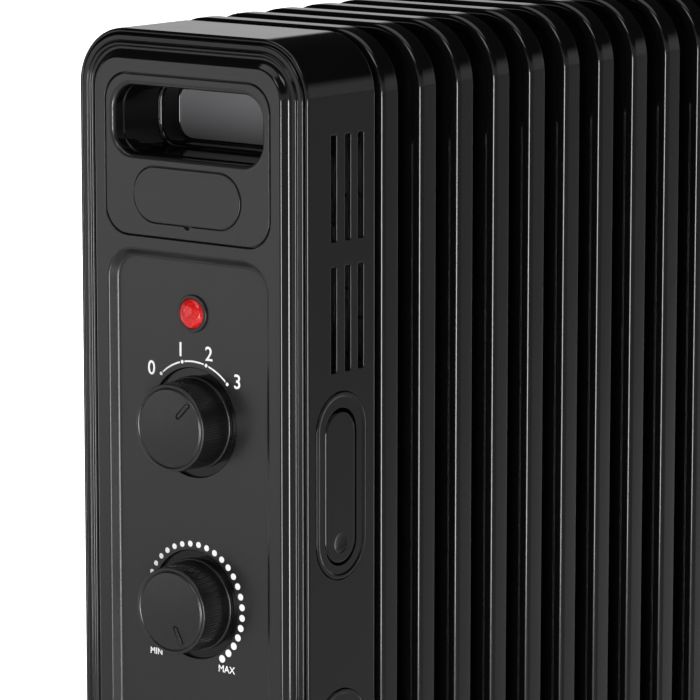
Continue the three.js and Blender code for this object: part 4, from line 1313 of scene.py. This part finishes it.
# ---- feet and castors --------------------------------------------------------------------------
def foot_plate(end):
    """A pressed foot: a plate with a turned down flange and a raised pad between the castors."""
    low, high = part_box(f"{end}_foot")
    x = (low.x + high.x) / 2
    edge = 2 * MM
    foot = rounded_block(f"{end}_foot_pressing", low, (high.x, high.y, high.z - edge), 2, 20 * MM, 10)
    terrace(foot, UP, arc(edge, edge, 4))
    terrace(foot, DOWN, [(2.5 * MM, 0), (2.5 * MM, -12 * MM)])
    for side in (-1, 1):
        outer = side * 125 * MM
        inner = side * 92 * MM
        near, far = spanned(inner, outer)
        cut(foot, block("end", (low.x - MM, near, low.z - MM), (high.x + MM, far, low.z + 12.3 * MM)))
        stem = Vector((x, side * 100 * MM, high.z))
        cut(foot, rod("stem_hole", 4.5 * MM, stem + UP * MM, stem + DOWN * 8 * MM, 32))
    ease_edges(foot, 0.4 * MM)
    return foot


def clamp_bolt(end):
    """A U bolt bent over the header tube, made by spinning the end of one leg."""
    low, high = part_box(f"{end}_clamp_bolt")
    x = (low.x + high.x) / 2
    radius = (high.x - low.x) / 2
    half = (high.y - low.y) / 2 - radius
    header_z = high.z - half - radius
    bolt = rod(f"{end}_u_bolt", radius, Vector((x, half, low.z + MM)), Vector((x, half, header_z)), 20)
    terrace(bolt, DOWN, [(0.8 * MM, MM)])
    with editing(bolt):
        pick("FACE", lambda face: face.normal.z > 0.99)
        bpy.ops.mesh.spin(steps=24, angle=-math.pi, center=(x, 0, header_z), axis=(1, 0, 0))
        bpy.ops.mesh.extrude_region_move(TRANSFORM_OT_translate={"value": DOWN * (header_z - low.z - MM)})
        bpy.ops.mesh.inset(thickness=0.8 * MM, depth=MM)
        weld()
        bpy.ops.mesh.select_all(action="SELECT")
        bpy.ops.mesh.normals_make_consistent(inside=False)
    return bolt


def wing_nut(end):
    """The right wing nut of a foot: a turned hub with two lobed wings."""
    low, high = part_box(f"{end}_right_wing_nut")
    centre = (low + high) / 2
    top = Vector((centre.x, centre.y, high.z))
    hub = rod(f"{end}_right_wing", 6.5 * MM, top, top + DOWN * 6 * MM, 32)
    terrace(hub, DOWN, arc(1.5 * MM, MM, 3))
    for side in (-1, 1):
        inner, outer = spanned(centre.x + side * 4 * MM, centre.x + side * 15 * MM)
        wing = rounded_block(
            "wing", (inner, centre.y - 1.2 * MM, low.z), (outer, centre.y + 1.2 * MM, low.z + 8 * MM), 1, 3.4 * MM, 6
        )
        fuse(hub, wing)
    cut(hub, rod("thread", 3.5 * MM, top + UP * MM, top + DOWN * 12 * MM, 24))
    ease_edges(hub, 0.3 * MM, 2)
    return hub


class HEATER_OT_feet(bpy.types.Operator):
    """Models the two feet with their U bolts and wing nuts"""

    bl_idname = "heater.feet"
    bl_label = "Feet"

    def execute(self, context):
        for end in ("front", "rear"):
            settle(foot_plate(end), "radiator", surface("enamel"), "fin_paint", f"{end}_foot")
            settle(clamp_bolt(end), "radiator", surface("zinc"), "zinc_steel", f"{end}_clamp_bolt")
            right = wing_nut(end)
            left = mirrored(right, f"{end}_left_wing")
            settle(right, "radiator", surface("zinc"), "zinc_steel", f"{end}_right_wing_nut")
            settle(left, "radiator", surface("zinc"), "zinc_steel", f"{end}_left_wing_nut")
        return {"FINISHED"}


def castor_fork(name, node):
    """A castor fork: crown, hood, two cheeks, stem with its cap, and the axle."""
    low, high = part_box(node)
    wheel = middle(node.replace("_fork", "_wheel"))
    y = (low.y + high.y) / 2
    stem_x = low.x + 14 * MM
    crown_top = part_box("front_foot")[1].z - 2.8 * MM
    cheek = 2.6 * MM
    crown = Vector((stem_x, y, crown_top))
    fork = rod(name, 14 * MM, crown, crown + DOWN * 5 * MM, 48)
    terrace(fork, UP, [(2 * MM, 0), (2.5 * MM, 0.02 * MM)])
    hood_low = (stem_x - 11 * MM, low.y + 0.4 * MM, 50 * MM)
    hood_high = (stem_x + 21 * MM, high.y - 0.4 * MM, crown_top - 3 * MM)
    fuse(fork, rounded_block("hood", hood_low, hood_high, 2, 5 * MM, 5))
    for side in (-1, 1):
        inner, outer = spanned(y + side * (high.y - y - cheek), y + side * (high.y - y))
        plate = block("cheek", (stem_x - 11 * MM, inner, 17 * MM), (stem_x + 23 * MM, outer, 56 * MM))
        with editing(plate):
            pick("EDGE", lambda edge: all(v.co.z < 20 * MM and v.co.x < stem_x for v in edge.verts))
            bpy.ops.mesh.bevel(offset=20 * MM, segments=8, profile=0.42, affect="EDGES")
            pick("EDGE", lambda edge: all(v.co.z < 20 * MM and v.co.x > stem_x + 22 * MM for v in edge.verts))
            bpy.ops.mesh.bevel(offset=7 * MM, segments=6, profile=0.5, affect="EDGES")
        fuse(fork, plate)
        hub = Vector((wheel.x, outer if side > 0 else inner, wheel.z))
        button = rod("button", 4.6 * MM, hub + LEFT * side * -1 * MM, hub, 24)
        fuse(fork, button)
    fuse(fork, rod("axle", 3 * MM, (wheel.x, low.y + MM, wheel.z), (wheel.x, high.y - MM, wheel.z), 24))
    fuse(fork, rod("stem", 4 * MM, crown + DOWN * MM, Vector((stem_x, y, high.z - MM)), 24))
    cap = rod("cap", 7 * MM, Vector((stem_x, y, high.z - 3.7 * MM)), Vector((stem_x, y, high.z - 1.5 * MM)), 32)
    terrace(cap, UP, arc(3 * MM, 1.5 * MM, 4))
    fuse(fork, cap)
    ease_edges(fork, 0.35 * MM, 2)
    return fork


def castor_wheel(name, node):
    """A wheel with rounded shoulders, a groove round the tread and spoke pockets on both sides."""
    low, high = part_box(node)
    centre = (low + high) / 2
    radius = (high.z - low.z) / 2
    half = (high.y - low.y) / 2
    sides = 60
    shoulder = 2.5 * MM
    start = centre + RIGHT * (half - shoulder)
    end = centre + LEFT * (half - shoulder)
    wheel = rod(name, radius, start, end, sides)
    with editing(wheel):
        pick("FACE", lambda face: abs(face.normal.y) < 0.5)
        bpy.ops.mesh.inset(thickness=4.2 * MM, depth=0)
        bpy.ops.mesh.inset(thickness=0.5 * MM, depth=-1.0 * MM)
    for out in (RIGHT, LEFT):
        profile = arc(shoulder, shoulder, 4)
        profile += [(4.5 * MM, shoulder), (5.2 * MM, shoulder - 1.2 * MM), (16 * MM, shoulder - 1.2 * MM)]
        profile += [(16.6 * MM, shoulder - 0.2 * MM), (20.6 * MM, shoulder - 0.2 * MM)]
        terrace(wheel, out, profile)
        with editing(wheel):
            pick("FACE", lambda face: spoke_gap(face, centre, out, sides))
            bpy.ops.mesh.inset(thickness=0.7 * MM, depth=0)
            bpy.ops.mesh.inset(thickness=0.3 * MM, depth=-2.0 * MM)
    cut(wheel, rod("bore", 3.3 * MM, centre + RIGHT * 20 * MM, centre + LEFT * 20 * MM, 24))
    return wheel


def spoke_gap(face, centre, out, sides):
    """Whether a face lies on the disc of a wheel between two spokes."""
    place = face.calc_center_median() - centre
    reach = math.hypot(place.x, place.z)
    if face.normal.dot(out) < 0.99 or not 9 * MM < reach < 18 * MM:
        return False
    number = math.floor((math.atan2(place.z, place.x) / math.tau + 1) * sides)
    return number % 10 < 8


class HEATER_OT_castors(bpy.types.Operator):
    """Models one castor and copies it to the four corners"""

    bl_idname = "heater.castors"
    bl_label = "Castors"

    def execute(self, context):
        fork = castor_fork("fork", "front_right_castor_fork")
        wheel = castor_wheel("wheel", "front_right_castor_wheel")
        home = middle("front_right_castor_wheel")
        for end in ("front", "rear"):
            for side in ("right", "left"):
                label = f"{end}_{side}"
                offset = middle(f"{label}_castor_wheel") - home
                made = copied(fork, f"{label}_fork_moulding", offset)
                settle(made, f"{label}_fork", surface("nylon"), "castor_black", f"{label}_castor_fork")
                made = copied(wheel, f"{label}_tyre", offset)
                settle(made, f"{label}_wheel", surface("rubber"), "wheel_black", f"{label}_castor_wheel")
        bpy.data.objects.remove(fork)
        bpy.data.objects.remove(wheel)
        return {"FINISHED"}


# ---- cord gland and the pieces inside the head ---------------------------------------------------
class HEATER_OT_gland(bpy.types.Operator):
    """Models the ribbed gland through which the cord enters the head"""

    bl_idname = "heater.gland"
    bl_label = "Cord gland"

    def execute(self, context):
        low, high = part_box("cord_gland")
        centre = (low + high) / 2
        bottom = Vector((centre.x, centre.y, low.z + MM))
        top = Vector((centre.x, centre.y, HEAD_LOW.z - 0.3 * MM))
        gland = rod("ribbed_gland", 10 * MM, bottom, top, 48)
        terrace(gland, DOWN, arc(MM, MM, 3) + [(4 * MM, MM)])
        terrace(gland, UP, [(4 * MM, 0), (4 * MM, high.z - top.z)])
        with editing(gland):
            pick("FACE", lambda face: abs(face.normal.z) < 0.2 and math.floor(flat_angle(face, centre) / 15) % 2 == 0)
            bpy.ops.mesh.inset(thickness=0.15 * MM, depth=-0.4 * MM)
        cut(gland, rod("bore", 3.6 * MM, bottom + DOWN * 5 * MM, Vector((centre.x, centre.y, high.z + 5 * MM)), 32))
        settle(gland, "radiator", surface("nylon"), "cover_black", "cord_gland")
        return {"FINISHED"}


def flat_angle(face, centre):
    """The direction of a face round an upright axis, in degrees."""
    place = face.calc_center_median() - centre
    return math.degrees(math.atan2(place.y, place.x)) + 360


CARRIED_OVER = {
    "zinc": ("head_mounting_stud", "head_mounting_nut", "heater_flange", "heating_element_1",
             "heating_element_2", "upper_hook_pin", "lower_hook_pin", "tip_over_pendulum"),
    "brass": ("power_switch_shaft", "thermostat_shaft"),
    "phenolic": ("power_switch", "thermal_cutout", "tip_over_switch"),
    "ceramic": ("thermostat", "terminal_block", "lamp_holder"),
}


class HEATER_OT_inner_parts(bpy.types.Operator):
    """Gives the switches, shafts and other CAD pieces inside the heater their surfaces"""

    bl_idname = "heater.inner_parts"
    bl_label = "Inner parts"

    def execute(self, context):
        for kind, names in CARRIED_OVER.items():
            for name in names:
                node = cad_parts[name]
                for slot in node.material_slots:
                    slot.material = surface(kind)
        return {"FINISHED"}


# ---- panel and registration ----------------------------------------------------------------------
STEPS = (
    HEATER_OT_stage,
    HEATER_OT_fins,
    HEATER_OT_plugs,
    HEATER_OT_shell,
    HEATER_OT_cover,
    HEATER_OT_back_plate,
    HEATER_OT_insert,
    HEATER_OT_lamp,
    HEATER_OT_knobs,
    HEATER_OT_scales,
    HEATER_OT_hooks,
    HEATER_OT_feet,
    HEATER_OT_castors,
    HEATER_OT_gland,
    HEATER_OT_inner_parts,
)
SETTINGS = {
    "heater_fins": HeaterFinSettings,
    "heater_head": HeaterHeadSettings,
    "heater_controls": HeaterControlSettings,
    "heater_colours": HeaterColourSettings,
    "heater_stage": HeaterStageSettings,
}


class HEATER_PT_panel(bpy.types.Panel):
    """Lists the settings and the steps that build the heater"""

    bl_idname = "HEATER_PT_panel"
    bl_label = "Heater"
    bl_space_type = "VIEW_3D"
    bl_region_type = "UI"
    bl_category = "Heater"

    def draw(self, context):
        for group in SETTINGS:
            settings = getattr(context.scene, group)
            column = self.layout.column(align=True)
            for name in settings.__annotations__:
                column.prop(settings, name)
        for step in STEPS:
            self.layout.operator(step.bl_idname)


def register():
    """Registers the settings, the operators and the panel."""
    for name, group in SETTINGS.items():
        bpy.utils.register_class(group)
        setattr(bpy.types.Scene, name, PointerProperty(type=group))
    for step in STEPS:
        bpy.utils.register_class(step)
    bpy.utils.register_class(HEATER_PT_panel)


def unregister():
    """Takes everything off again in the opposite order."""
    bpy.utils.unregister_class(HEATER_PT_panel)
    for step in reversed(STEPS):
        bpy.utils.unregister_class(step)
    for name, group in reversed(SETTINGS.items()):
        delattr(bpy.types.Scene, name)
        bpy.utils.unregister_class(group)


def main():
    register()
    for step in STEPS:
        group, name = step.bl_idname.split(".")
        getattr(getattr(bpy.ops, group), name)()


if __name__ == "__main__":
    main()
